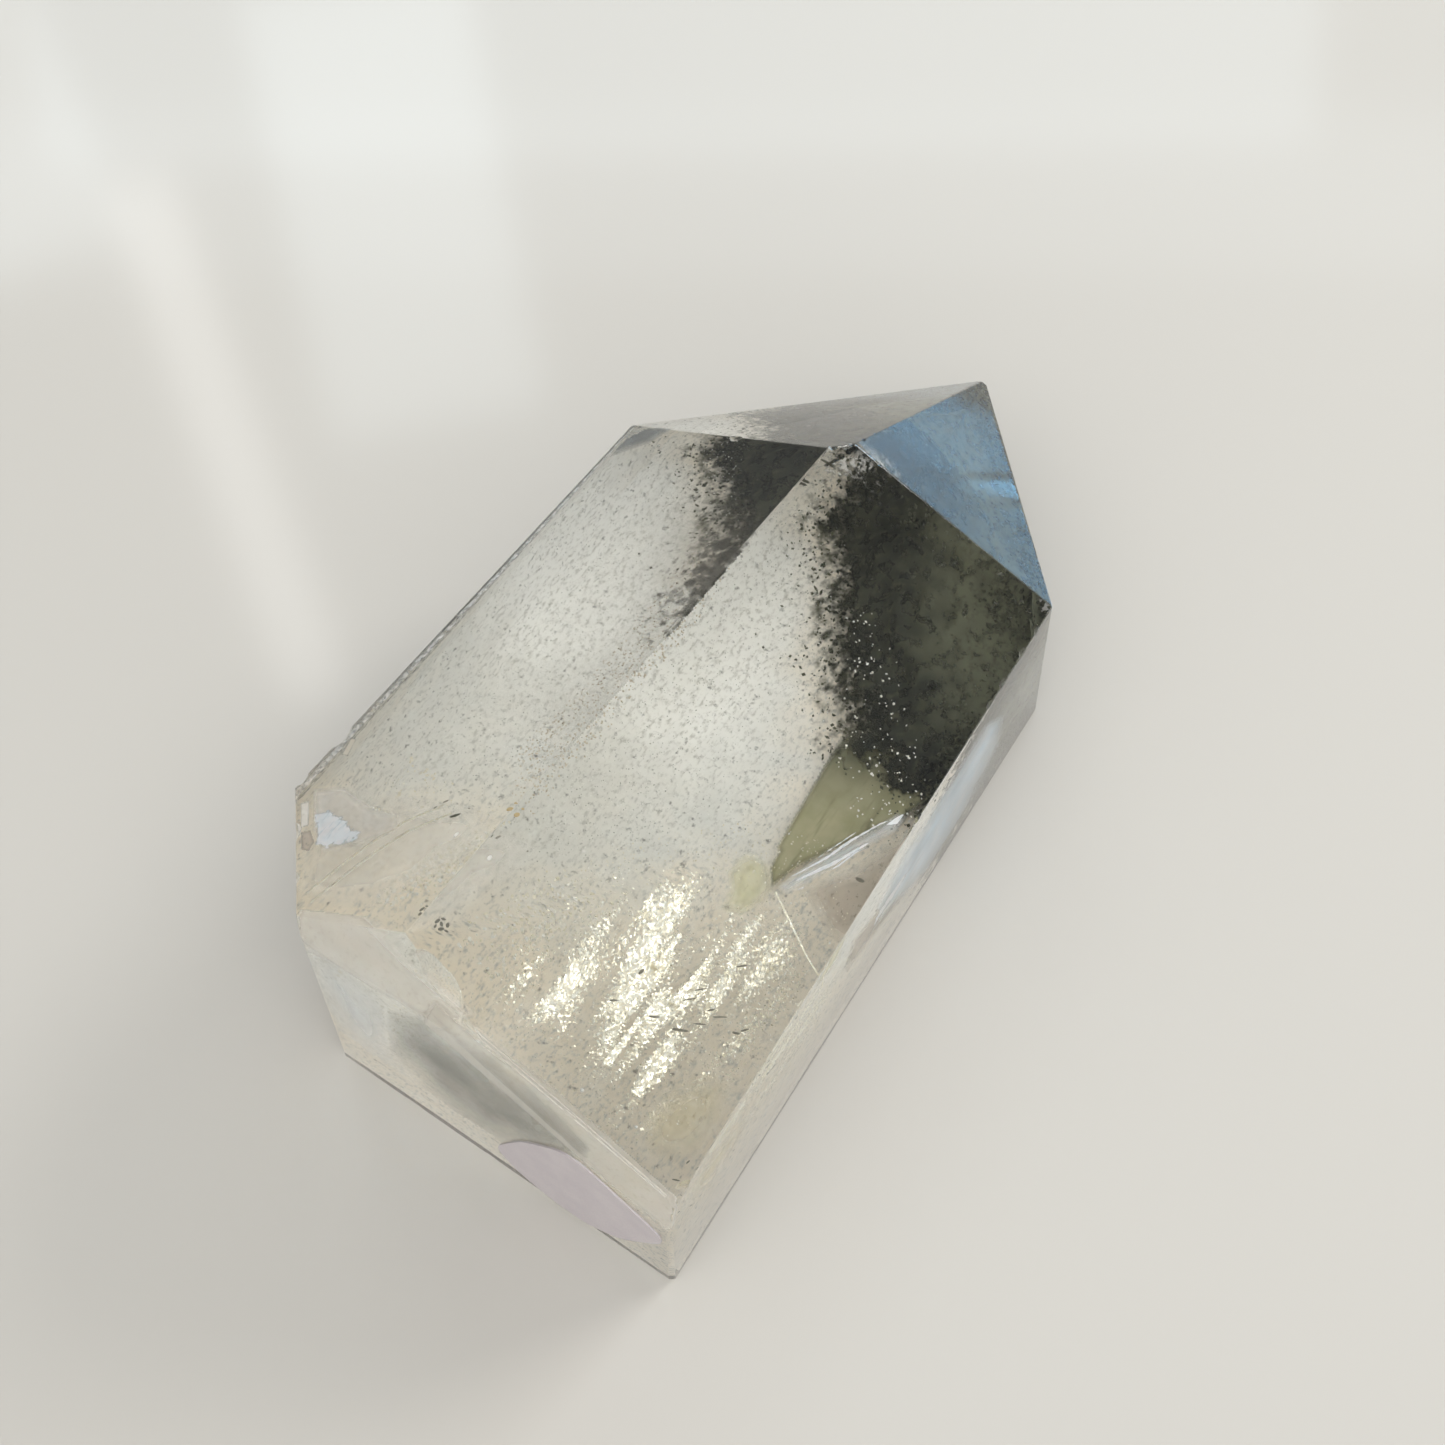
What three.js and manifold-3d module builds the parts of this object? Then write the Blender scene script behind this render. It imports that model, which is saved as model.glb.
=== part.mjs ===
// A garden quartz tower: one clear quartz crystal ground to flat faces, lying on its side on its foot
// face, with its point towards +Y and its flat base towards -Y. A paper label is glued on the base.
// Units are millimetres and +Z is up.
import * as THREE from 'three';
import { mergeVertices } from 'three/addons/utils/BufferGeometryUtils.js';
import Module from 'manifold-3d';

// Driving dimensions. The stone is laid out from the corner where its base, its right face and its foot
// face meet, with X to the right, Y along the stone to its point, and Z up.
const footWidth = 42;                      // the base's lower edge, on the table
const rightEdgeHeight = 23.1;              // where the right face meets the upper right one, at the base
const shoulder = [-4.2, 74.2, 26.2];       // the right face's upper corner, where the point begins
const ridgeEnd = [-29.2, 68.8, 40.5];      // the top ridge's far end
const leftEdgeMiddle = [-53.5, 40, 27.2];  // on the stone's widest edge
const keelEdgeMiddle = [-43.4, 37, 0];     // on the foot face's left edge
const baseSlopeHeight = 32.9;              // the base's upper edge
const cornerBevelLeg = 0.5;
const footBevelLeg = 0.35;
const tipBruise = 0.6;                     // length worn off the point
const labelThickness = 0.2;
const glueLine = 0.05;

const degrees = Math.PI / 180;
const point = (xyz) => new THREE.Vector3(...xyz);

// A facet is a flat face: turn is the way it faces round the long axis (0 right, 90 up, 180 left),
// lean is how far it tips towards the point, and at is a place on it.
function facet(turn, lean, at) {
  const normal = new THREE.Vector3(
    Math.cos(turn * degrees) * Math.cos(lean * degrees),
    Math.sin(lean * degrees),
    Math.sin(turn * degrees) * Math.cos(lean * degrees),
  );
  return new THREE.Plane().setFromNormalAndCoplanarPoint(normal, point(at));
}

// The corner where three facets meet.
function corner(a, b, c) {
  const across = (u, v) => new THREE.Vector3().crossVectors(u.normal, v.normal);
  const bc = across(b, c);
  const meet = bc.clone().multiplyScalar(-a.constant);
  meet.addScaledVector(across(c, a), -b.constant);
  meet.addScaledVector(across(a, b), -c.constant);
  return meet.divideScalar(a.normal.dot(bc));
}

// The long faces. Three of them keep the crystal's own 60 degree steps, the others are ground freely.
const base = facet(0, -90, [0, 0, 0]);
const foot = facet(270, 0, [0, 0, 0]);
const right = facet(0, 3.2, [0, 0, 0]);
const upperRight = facet(60, -0.5, [0, 0, rightEdgeHeight]);
const upperLeft = facet(120, 1.2, ridgeEnd);
const left = facet(186, 2, leftEdgeMiddle);
const lowerLeft = facet(225, 2, keelEdgeMiddle);

// Facets that take the corners off round the base.
const baseCorner = facet(180, -43.3, [-footWidth, 0, 0]);
const baseSlope = facet(93, -67.2, [-32, 0, baseSlopeHeight]);
const baseStrip = facet(56, -77.4, [0, 1.1, rightEdgeHeight]);
const cornerBevel = facet(0, -45, [-cornerBevelLeg, 0, 0]);
const footBevel = facet(270, -45, [0, 0, footBevelLeg]);

// The six facets of the point. The three lower ones run through the tip that the upper three make.
const tipUpperLeft = facet(122, 33.2, ridgeEnd);
const tipUpperRight = facet(64.2, 35.3, shoulder);
const tipRight = facet(4.5, 42.6, shoulder);
const tip = corner(tipUpperLeft, tipUpperRight, tipRight);
const tipLeft = facet(184, 35.6, tip.toArray());
const tipLowerLeft = facet(235, 38, tip.toArray());
const tipFoot = facet(272, 37, tip.toArray());
const tipEnd = facet(100, 78, [tip.x, tip.y - tipBruise, tip.z]);

const longFaces = [base, foot, right, upperRight, upperLeft, left, lowerLeft];
const baseCuts = [baseCorner, baseSlope, baseStrip, cornerBevel, footBevel];
const tipFaces = [tipUpperLeft, tipUpperRight, tipRight, tipLeft, tipLowerLeft, tipFoot, tipEnd];

// Chips on the edges. Each is a shallow shell-shaped scoop with its middle on the edge from one corner
// to another: along is how far along that edge, size the scoop's radius, bite how deep it goes.
const baseRightTop = corner(right, upperRight, baseStrip);
const shoulderTop = corner(right, upperRight, tipUpperRight);
const ridgeStart = corner(upperRight, upperLeft, baseSlope);
const ridgeTop = corner(upperRight, upperLeft, tipUpperLeft);
const ridgeTurn = corner(upperRight, tipUpperLeft, tipUpperRight);
const leftStart = corner(upperLeft, left, baseCorner);
const leftTop = corner(upperLeft, left, tipLeft);
const baseLeftTop = corner(upperLeft, baseCorner, baseSlope);
const stripStart = corner(upperRight, baseSlope, baseStrip);
const footRight = corner(base, foot, right);
const footLeft = corner(base, foot, baseCorner);

const chips = [
  // The upper right edge, most of them near the shoulder
  { from: baseRightTop, to: shoulderTop, faces: [right, upperRight], along: 0.985, size: 1.2, bite: 0.3 },
  { from: baseRightTop, to: shoulderTop, faces: [right, upperRight], along: 0.945, size: 1.6, bite: 0.3 },
  { from: baseRightTop, to: shoulderTop, faces: [right, upperRight], along: 0.915, size: 1.1, bite: 0.25 },
  { from: baseRightTop, to: shoulderTop, faces: [right, upperRight], along: 0.85, size: 1.5, bite: 0.3 },
  { from: baseRightTop, to: shoulderTop, faces: [right, upperRight], along: 0.835, size: 0.9, bite: 0.25 },
  { from: baseRightTop, to: shoulderTop, faces: [right, upperRight], along: 0.62, size: 1.2, bite: 0.2 },
  { from: baseRightTop, to: shoulderTop, faces: [right, upperRight], along: 0.31, size: 1.3, bite: 0.2 },
  { from: baseRightTop, to: shoulderTop, faces: [right, upperRight], along: 0.01, size: 3.2, bite: 0.7 },
  // Where the ridge turns into the point
  { from: ridgeTop, to: ridgeTurn, faces: [upperRight, tipUpperLeft], along: 0.35, size: 1.3, bite: 0.25 },
  { from: ridgeTop, to: ridgeTurn, faces: [upperRight, tipUpperLeft], along: 0.85, size: 1.5, bite: 0.3 },
  { from: ridgeTurn, to: tip, faces: [tipUpperLeft, tipUpperRight], along: 0.06, size: 1.2, bite: 0.25 },
  { from: ridgeTurn, to: tip, faces: [tipUpperLeft, tipUpperRight], along: 0.14, size: 1, bite: 0.2 },
  { from: ridgeTurn, to: shoulderTop, faces: [upperRight, tipUpperRight], along: 0.12, size: 1.3, bite: 0.2 },
  { from: leftTop, to: ridgeTop, faces: [upperLeft, tipUpperLeft], along: 0.55, size: 1.4, bite: 0.25 },
  // The left edge and the corner below it, where a little of the rough skin is left
  { from: leftStart, to: leftTop, faces: [upperLeft, left], along: 0.13, size: 3, bite: 0.45 },
  { from: leftStart, to: leftTop, faces: [upperLeft, left], along: 0.006, size: 1.6, bite: 0.4 },
  { from: leftStart, to: baseLeftTop, faces: [upperLeft, baseCorner], along: 0.24, size: 4, bite: 0.45 },
  { from: leftStart, to: baseLeftTop, faces: [upperLeft, baseCorner], along: 0.42, size: 3.4, bite: 0.4 },
  { from: leftStart, to: baseLeftTop, faces: [upperLeft, baseCorner], along: 0.8, size: 1.8, bite: 0.25 },
  // The base's edges
  { from: ridgeStart, to: stripStart, faces: [upperRight, baseSlope], along: 0.45, size: 8, bite: 0.9 },
  { from: stripStart, to: baseRightTop, faces: [upperRight, baseStrip], along: 0.45, size: 1.4, bite: 0.25 },
  { from: footLeft, to: footRight, faces: [base, foot], along: 0.22, size: 4, bite: 0.55 },
  { from: footLeft, to: footRight, faces: [base, foot], along: 0.46, size: 3, bite: 0.5 },
];

const wasm = await Module();
wasm.setup();

// A closed solid from a three.js geometry.
function solidFrom(geometry) {
  const bare = geometry.clone();
  bare.deleteAttribute('normal');
  bare.deleteAttribute('uv');
  const merged = mergeVertices(bare.index ? bare.toNonIndexed() : bare);
  const mesh = new wasm.Mesh({
    numProp: 3,
    vertProperties: new Float32Array(merged.attributes.position.array),
    triVerts: new Uint32Array(merged.index.array),
  });
  return new wasm.Manifold(mesh);
}

// A flat-shaded three.js geometry from a solid.
function geometryFrom(solid) {
  const mesh = solid.getMesh();
  const geometry = new THREE.BufferGeometry();
  geometry.setAttribute('position', new THREE.BufferAttribute(new Float32Array(mesh.vertProperties), 3));
  geometry.setIndex(new THREE.BufferAttribute(new Uint32Array(mesh.triVerts), 1));
  geometry.computeVertexNormals();
  return geometry;
}

// The rough block is larger than the stone, and what a facet grinds away is larger than the block.
const roughSize = 220;
const grindSize = 800;

function groundAway(face) {
  const block = new THREE.BoxGeometry(grindSize, grindSize, grindSize);
  block.translate(0, 0, grindSize / 2);
  const turned = new THREE.Quaternion().setFromUnitVectors(new THREE.Vector3(0, 0, 1), face.normal);
  block.applyQuaternion(turned);
  const onFace = face.projectPoint(shoulderTop, new THREE.Vector3());
  block.translate(onFace.x, onFace.y, onFace.z);
  return solidFrom(block);
}

function scoop({ from, to, faces, along, size, bite }) {
  const outward = faces[0].normal.clone().add(faces[1].normal).normalize();
  const centre = from.clone().lerp(to, along).addScaledVector(outward, size - bite);
  const shell = new THREE.IcosahedronGeometry(size, 2);
  shell.rotateX(along * 7);
  shell.translate(centre.x, centre.y, centre.z);
  return solidFrom(shell);
}

function quartzTower() {
  let stone = solidFrom(new THREE.BoxGeometry(roughSize, roughSize, roughSize));
  for (const face of [...longFaces, ...baseCuts, ...tipFaces]) {
    stone = stone.subtract(groundAway(face));
  }
  for (const chip of chips) {
    stone = stone.subtract(scoop(chip));
  }
  const clearQuartz = new THREE.MeshStandardMaterial({
    color: 0xdcdacf, roughness: 0.04, metalness: 0, transparent: true, opacity: 0.45,
  });
  const mesh = new THREE.Mesh(geometryFrom(stone), clearQuartz);
  mesh.name = 'quartz_tower';
  return mesh;
}

// The label is cut by hand: an uneven outline with rounded corners, x and z on the base.
const labelCorners = [
  [-21.6, 6.6], [-17.6, 14.8], [-12.4, 20.7], [-9.6, 20.7], [-1.2, 14.8], [-0.9, 12.2],
  [-6.2, 3.9], [-10.6, 0.9], [-14.8, 0.9], [-19.6, 3.2],
];
const labelRounding = 0.3;                 // share of each side that its corners' curves take

function paperLabel() {
  const outline = new THREE.Shape();
  const at = (i) => new THREE.Vector2(...labelCorners[i % labelCorners.length]);
  outline.moveTo(...at(0).lerp(at(1), labelRounding).toArray());
  for (let i = 1; i <= labelCorners.length; i += 1) {
    const [before, here, after] = [at(i - 1), at(i), at(i + 1)];
    outline.lineTo(...here.clone().lerp(before, labelRounding).toArray());
    outline.quadraticCurveTo(...here.toArray(), ...here.clone().lerp(after, labelRounding).toArray());
  }
  const sheet = new THREE.ExtrudeGeometry(outline, {
    depth: labelThickness, bevelEnabled: false, curveSegments: 5,
  });
  const paper = new THREE.MeshStandardMaterial({ color: 0xd3c6ce, roughness: 0.6, metalness: 0 });
  const mesh = new THREE.Mesh(sheet, paper);
  mesh.name = 'paper_label';
  mesh.rotation.x = Math.PI / 2;
  mesh.position.y = -glueLine;
  return mesh;
}

// The model's origin is under the middle of the stone, on the table.
const stone = quartzTower();
const tower = new THREE.Group();
tower.add(stone, paperLabel());
const box = new THREE.Box3().setFromObject(tower, true);
const middle = box.getCenter(new THREE.Vector3());
tower.position.set(-middle.x, -middle.y, -box.min.z);

const model = new THREE.Group();
model.add(tower);
export default model;
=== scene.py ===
# %% [markdown]
# # A garden quartz tower
# The real object is one clear quartz crystal, sawn and polished to flat faces, with dark green
# mineral grains that grew inside its point and a glittering healed crack near its base. This
# notebook dresses the imported CAD model: the clear stone is made from the CAD solid itself, and
# what grew inside it is added as small meshes, with a few thin films of painted shade and light.
# Everything is in metres, in the CAD model's frame.

# %% Load the imported model
import math

import bmesh
import bpy
import numpy as np
from mathutils import Matrix, Vector, noise


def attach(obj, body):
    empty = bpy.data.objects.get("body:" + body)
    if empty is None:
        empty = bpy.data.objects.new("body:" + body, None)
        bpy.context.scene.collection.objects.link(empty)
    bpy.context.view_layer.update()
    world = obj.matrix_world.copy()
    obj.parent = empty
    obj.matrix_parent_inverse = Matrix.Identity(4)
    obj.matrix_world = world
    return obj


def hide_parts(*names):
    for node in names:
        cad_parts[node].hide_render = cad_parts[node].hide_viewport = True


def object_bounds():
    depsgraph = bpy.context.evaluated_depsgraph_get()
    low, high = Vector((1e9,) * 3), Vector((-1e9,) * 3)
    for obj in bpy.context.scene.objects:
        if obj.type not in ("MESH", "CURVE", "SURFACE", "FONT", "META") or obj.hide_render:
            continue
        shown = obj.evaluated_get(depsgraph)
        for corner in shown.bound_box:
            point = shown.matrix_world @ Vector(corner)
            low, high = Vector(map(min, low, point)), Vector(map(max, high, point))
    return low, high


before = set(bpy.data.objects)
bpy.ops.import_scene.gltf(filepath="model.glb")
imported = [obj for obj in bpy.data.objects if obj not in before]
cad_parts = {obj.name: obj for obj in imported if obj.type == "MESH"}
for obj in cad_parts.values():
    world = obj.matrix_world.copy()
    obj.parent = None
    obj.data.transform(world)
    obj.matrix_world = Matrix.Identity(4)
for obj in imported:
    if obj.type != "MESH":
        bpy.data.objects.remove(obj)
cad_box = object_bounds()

MM = 0.001
print("nodes:", sorted(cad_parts), "box:", [round(n * 1000, 2) for n in cad_box[1] - cad_box[0]])

# %% [markdown]
# ## The camera
# The photograph looks steeply down on the stone from the side of its base. The stone's own edges
# gave the camera: where it stands, where it points and how long its lens is. A camera in Blender
# looks along its own -Z, so it is turned with `to_track_quat`.

# %% Camera
PHOTO_SIZE = 1445
FOCAL_PX = 2500.0
camera_place = Vector((70.13, -102.98, 247.78)) * MM
camera_azimuth, camera_pitch = math.radians(34.8), math.radians(62)
looks_along = Vector((
    -math.sin(camera_azimuth) * math.cos(camera_pitch),
    math.cos(camera_azimuth) * math.cos(camera_pitch),
    -math.sin(camera_pitch),
))

camera_data = bpy.data.cameras.new("camera")
camera_data.sensor_width = 36
camera_data.lens = FOCAL_PX / PHOTO_SIZE * camera_data.sensor_width
camera_data.clip_start, camera_data.clip_end = 0.01, 20
camera = bpy.data.objects.new("camera", camera_data)
camera.location = camera_place
camera.rotation_euler = looks_along.to_track_quat("-Z", "Y").to_euler()
bpy.context.scene.collection.objects.link(camera)
bpy.context.scene.camera = camera
camera_turn = looks_along.to_track_quat("-Z", "Y").to_matrix()
print("lens", round(camera_data.lens, 2), "mm")

# %% [markdown]
# ## The table
# The stone lies on a pale, slightly glossy table top. A plane would do, but a table this close to
# a clear stone is seen through it, so its top lies a hair below the stone's foot: two surfaces in
# the same place would flicker.

# %% Table
TABLE_HALF = 1.6
TABLE_GAP = 0.05 * MM


def node_input(node, name, value):
    node.inputs[name].default_value = value
    return node


def new_material(name):
    """An empty material with its output node."""
    material = bpy.data.materials.new(name)
    material.use_nodes = True
    material.node_tree.nodes.clear()
    output = material.node_tree.nodes.new("ShaderNodeOutputMaterial")
    return material, material.node_tree.nodes, material.node_tree.links, output


def mesh_object(name, vertices, faces):
    mesh = bpy.data.meshes.new(name)
    mesh.from_pydata([tuple(v) for v in vertices], [], faces)
    mesh.update()
    made = bpy.data.objects.new(name, mesh)
    bpy.context.scene.collection.objects.link(made)
    return made


table_material, nodes, links, output = new_material("table_top")
paint = nodes.new("ShaderNodeBsdfPrincipled")
node_input(paint, "Base Color", (0.515, 0.49, 0.445, 1))
node_input(paint, "Roughness", 0.09)
node_input(paint, "IOR", 1.45)
links.new(paint.outputs[0], output.inputs["Surface"])

table = mesh_object("table", [
    (-TABLE_HALF, -TABLE_HALF, -TABLE_GAP), (TABLE_HALF, -TABLE_HALF, -TABLE_GAP),
    (TABLE_HALF, TABLE_HALF, -TABLE_GAP), (-TABLE_HALF, TABLE_HALF, -TABLE_GAP),
], [(0, 1, 2, 3)])
table.data.materials.append(table_material)
print("table top at", -TABLE_GAP / MM, "mm")

# %% [markdown]
# ## The light
# Daylight from large windows, beyond the stone and to its right. Large area lights give soft
# edges, and a plain pale world fills the shade. A low bluish panel far beyond the point is what
# the point's upper facet mirrors.

# %% Lights
world = bpy.data.worlds.new("soft_room")
bpy.context.scene.world = world
world.use_nodes = True
room = world.node_tree.nodes["Background"]
node_input(room, "Color", (0.97, 0.985, 1.0, 1))
look = world.node_tree.nodes.new("ShaderNodeTexCoord")


def math_node(tree, operation, first, second):
    """A Math node; each input is a number or another node's output."""
    node = tree.nodes.new("ShaderNodeMath")
    node.operation = operation
    for socket, value in zip(node.inputs, (first, second)):
        if isinstance(value, (int, float)):
            socket.default_value = value
        else:
            tree.links.new(value, socket)
    return node.outputs[0]


def side_of_room(direction, fades_in, full):
    """1 on one side of the room, 0 away from it; the two cosines say where it fades in and is full."""
    along = world.node_tree.nodes.new("ShaderNodeVectorMath")
    along.operation = "DOT_PRODUCT"
    along.inputs[1].default_value = Vector(direction).normalized()
    world.node_tree.links.new(look.outputs["Generated"], along.inputs[0])
    fade = world.node_tree.nodes.new("ShaderNodeMapRange")
    fade.interpolation_type = "SMOOTHSTEP"
    node_input(fade, "From Min", fades_in)
    node_input(fade, "From Max", full)
    world.node_tree.links.new(along.outputs["Value"], fade.inputs["Value"])
    return fade.outputs["Result"]


ROOM_DIM, ROOM_BRIGHT = 0.36, 1.40
window_side = side_of_room((1.0, -0.45, 0.15), -0.75, 0.55)
dark_corner = side_of_room((0.63, 0.39, 0.67), 0.87, 0.97)
level = math_node(world.node_tree, "MULTIPLY_ADD", window_side, ROOM_BRIGHT - ROOM_DIM)
level.node.inputs[2].default_value = ROOM_DIM
shade = math_node(world.node_tree, "MULTIPLY_ADD", dark_corner, -0.82)
shade.node.inputs[2].default_value = 1.0
world.node_tree.links.new(math_node(world.node_tree, "MULTIPLY", level, shade), room.inputs["Strength"])


def softbox(name, place, aim, width, height, radiance, colour):
    """A rectangular area light. Radiance is how bright its face looks, in the render's own units."""
    lamp = bpy.data.lights.new(name, "AREA")
    lamp.shape = "RECTANGLE"
    lamp.size, lamp.size_y = width, height
    lamp.energy = radiance * math.pi * width * height
    lamp.color = colour
    made = bpy.data.objects.new(name, lamp)
    made.location = place
    made.rotation_euler = (Vector(aim) - Vector(place)).to_track_quat("-Z", "Y").to_euler()
    bpy.context.scene.collection.objects.link(made)
    return made


softbox("overhead", (0.10, -0.42, 0.85), (0, 0, 0), 0.8, 0.6, 1.3, (1.0, 0.985, 0.95))
softbox("window_far", (0.28, 0.68, 0.52), (0, 0, 0), 0.42, 0.4, 7.5, (1.0, 0.985, 0.97))
softbox("window_back", (-0.52, 0.74, 0.98), (0, 0, 0), 0.95, 0.10, 1.0, (0.80, 0.92, 1.0))
softbox("window_back_high", (-0.62, 0.84, 1.0), (0, 0, 0), 0.85, 0.14, 2.0, (0.76, 0.91, 1.0))
softbox("window_wide", (-0.63, 0.57, 0.9), (0, 0, 0), 0.13, 0.26, 2.5, (0.84, 0.95, 1.0))
softbox("window_narrow", (-0.60, 0.385, 0.9), (0, 0, 0), 0.035, 0.30, 3.6, (1.0, 0.99, 0.97))
softbox("window_left", (-0.95, 0.50, 0.9), (0, 0, 0), 0.16, 0.3, 2.4, (0.86, 0.95, 1.0))

# The low window stands behind the point: from and to along X, and how bright each pane is
LOW_PANES = [(-0.25, 0.036, 6.0), (0.036, 0.046, 2.0), (0.046, 0.065, 13.0), (0.065, 0.079, 0.6), (0.079, 0.21, 14.0)]
LOW_WINDOW_Y, LOW_SILL, LOW_MIDDLE, LOW_TOP = 0.75, 0.07, 0.150, 0.22
LOW_BLUE = (0.20, 0.60, 1.0)
for number, (start, end, radiance) in enumerate(LOW_PANES):
    middle = ((start + end) / 2, LOW_WINDOW_Y, (LOW_MIDDLE + LOW_TOP) / 2)
    softbox(f"window_low_{number + 1}", middle, (middle[0], 0, 0.02), end - start, LOW_TOP - LOW_MIDDLE, radiance, LOW_BLUE)
softbox("window_sill", (-0.02, LOW_WINDOW_Y, (LOW_SILL + LOW_MIDDLE) / 2), (-0.02, 0, 0.02), 0.46, LOW_MIDDLE - LOW_SILL, 3.6, LOW_BLUE)

bpy.context.scene.view_settings.view_transform = "Standard"
bpy.context.scene.view_settings.look = "None"
cycles = bpy.context.scene.cycles
cycles.max_bounces = 24
cycles.transmission_bounces = 24
cycles.glossy_bounces = 8
cycles.diffuse_bounces = 5
cycles.transparent_max_bounces = 16

# %% [markdown]
# ## The clear stone
# The real stone was sawn and ground, facet by facet, from a rough block. The same works here: each
# facet is a plane that cuts a block, and the cut is closed with one face. The planes come from the
# CAD solid, because in the direction that a facet faces, its plane lies at the farthest corner.

# %% Facets
stone_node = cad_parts["quartz_tower"]
stone_corners = np.array([v.co for v in stone_node.data.vertices])


def facet(turn, lean):
    """Outward normal and distance of the facet that faces turn degrees round the long axis."""
    turn, lean = math.radians(turn), math.radians(lean)
    normal = np.array([math.cos(turn) * math.cos(lean), math.sin(lean), math.sin(turn) * math.cos(lean)])
    return normal, float((stone_corners @ normal).max())


facets = {
    "right": facet(0, 3.2), "upper_right": facet(60, -0.5), "upper_left": facet(120, 1.2),
    "left": facet(186, 2), "lower_left": facet(225, 2), "foot": facet(270, 0), "base": facet(0, -90),
    "base_corner": facet(180, -43.3), "base_slope": facet(93, -67.2), "base_strip": facet(56, -77.4),
    "tip_upper_left": facet(122, 33.2), "tip_upper_right": facet(64.2, 35.3), "tip_right": facet(4.5, 42.6),
    "tip_left": facet(184, 35.6), "tip_lower_left": facet(235, 38), "tip_foot": facet(272, 37),
    "tip_end": facet(100, 78), "corner_bevel": facet(0, -45), "foot_bevel": facet(270, -45),
}
print("facets:", len(facets))


def meet(*names):
    """The corner where three facets meet."""
    return Vector(np.linalg.solve([facets[n][0] for n in names], [facets[n][1] for n in names]))


# %% Cut the block
BLOCK = 0.24
block = bmesh.new()
bmesh.ops.create_cube(block, size=BLOCK)
for normal, offset in facets.values():
    cut = bmesh.ops.bisect_plane(
        block, geom=block.verts[:] + block.edges[:] + block.faces[:], dist=1e-8,
        plane_co=normal * offset, plane_no=normal, clear_outer=True,
    )
    bmesh.ops.edgenet_fill(block, edges=[e for e in cut["geom_cut"] if isinstance(e, bmesh.types.BMEdge)])
print("ground stone:", len(block.faces), "facets,", round(block.calc_volume() * 1e6, 2), "cm3")

# %% [markdown]
# ## Soft edges and chips
# Polishing leaves each edge as a fine bright line about 0.2 mm wide, so all edges get a small
# bevel while the stone is still a simple closed form. Knocks then leave shell-shaped chips on the
# edges. Each is a ball with a slightly rippled skin, cut away by an exact Boolean.

# %% Edges and chips
EDGE_SOFTENING = 0.13 * MM
bmesh.ops.bevel(
    block, geom=block.edges[:], offset=EDGE_SOFTENING, offset_type="OFFSET", segments=2, profile=0.6,
    affect="EDGES", clamp_overlap=False,
)
print("open edges before the chips:", sum(not e.is_manifold for e in block.edges))
stone_mesh = bpy.data.meshes.new("clear_stone")
block.to_mesh(stone_mesh)
block.free()
clear_stone = bpy.data.objects.new("clear_stone", stone_mesh)
bpy.context.scene.collection.objects.link(clear_stone)

base_right_top = meet("right", "upper_right", "base_strip")
shoulder = meet("right", "upper_right", "tip_upper_right")
ridge_start = meet("upper_right", "upper_left", "base_slope")
ridge_top = meet("upper_right", "upper_left", "tip_upper_left")
ridge_turn = meet("upper_right", "tip_upper_left", "tip_upper_right")
left_start = meet("upper_left", "left", "base_corner")
left_top = meet("upper_left", "left", "tip_left")
base_left_top = meet("upper_left", "base_corner", "base_slope")
strip_start = meet("upper_right", "base_slope", "base_strip")
foot_right = meet("base", "foot", "right")
foot_left = meet("base", "foot", "base_corner")
point_of_stone = meet("tip_upper_left", "tip_upper_right", "tip_right")

# From one corner to another, the two facets, and for each chip: how far along, radius and bite in mm
CHIPPED_EDGES = [
    (base_right_top, shoulder, "right", "upper_right", [
        (0.955, 0.8, 0.2), (0.915, 1.2, 0.28), (0.86, 1.2, 0.3), (0.82, 0.9, 0.25),
        (0.62, 1.2, 0.2), (0.31, 1.3, 0.2), (0.01, 3.2, 0.7),
    ]),
    (ridge_top, ridge_turn, "upper_right", "tip_upper_left", [(0.2, 0.8, 0.24), (0.9, 0.6, 0.16)]),
    (ridge_turn, point_of_stone, "tip_upper_left", "tip_upper_right", [(0.06, 0.7, 0.15), (0.14, 0.6, 0.11)]),
    (ridge_turn, shoulder, "upper_right", "tip_upper_right", [(0.12, 0.7, 0.09)]),
    (left_top, ridge_top, "upper_left", "tip_upper_left", [(0.55, 1.4, 0.25)]),
    (left_start, left_top, "upper_left", "left", [(0.13, 3.0, 0.45), (0.02, 1.2, 0.4)]),
    (left_start, base_left_top, "upper_left", "base_corner", [(0.36, 2.4, 0.42), (0.72, 1.5, 0.3)]),
    (ridge_start, strip_start, "upper_right", "base_slope", [(0.45, 8.0, 0.9)]),
    (strip_start, base_right_top, "upper_right", "base_strip", [(0.45, 1.4, 0.25)]),
    (foot_left, foot_right, "base", "foot", [(0.22, 4.0, 0.55), (0.46, 3.0, 0.5)]),
]

balls = bmesh.new()
ball_places = []
for start, end, one, other, chips in CHIPPED_EDGES:
    outward = Vector(facets[one][0] + facets[other][0]).normalized()
    for along, radius, bite in chips:
        middle = start.lerp(end, along) + outward * (radius - bite) * MM
        ball_places.append((middle, radius * MM))
        ball = bmesh.ops.create_icosphere(balls, subdivisions=4, radius=radius * MM)
        for v in ball["verts"]:
            ripple = noise.noise(v.co / (0.45 * MM) + Vector((along * 9, 0, 0))) * 0.035
            v.co = middle + v.co * (1 + ripple)
overlaps = [(i, j) for i, (a, r) in enumerate(ball_places) for j, (b, s) in enumerate(ball_places[:i]) if (a - b).length < 1.05 * (r + s)]
print("chip balls that overlap:", overlaps)
for f in balls.faces:
    f.smooth = True
ball_mesh = bpy.data.meshes.new("chip_balls")
balls.to_mesh(ball_mesh)
balls.free()
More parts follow.
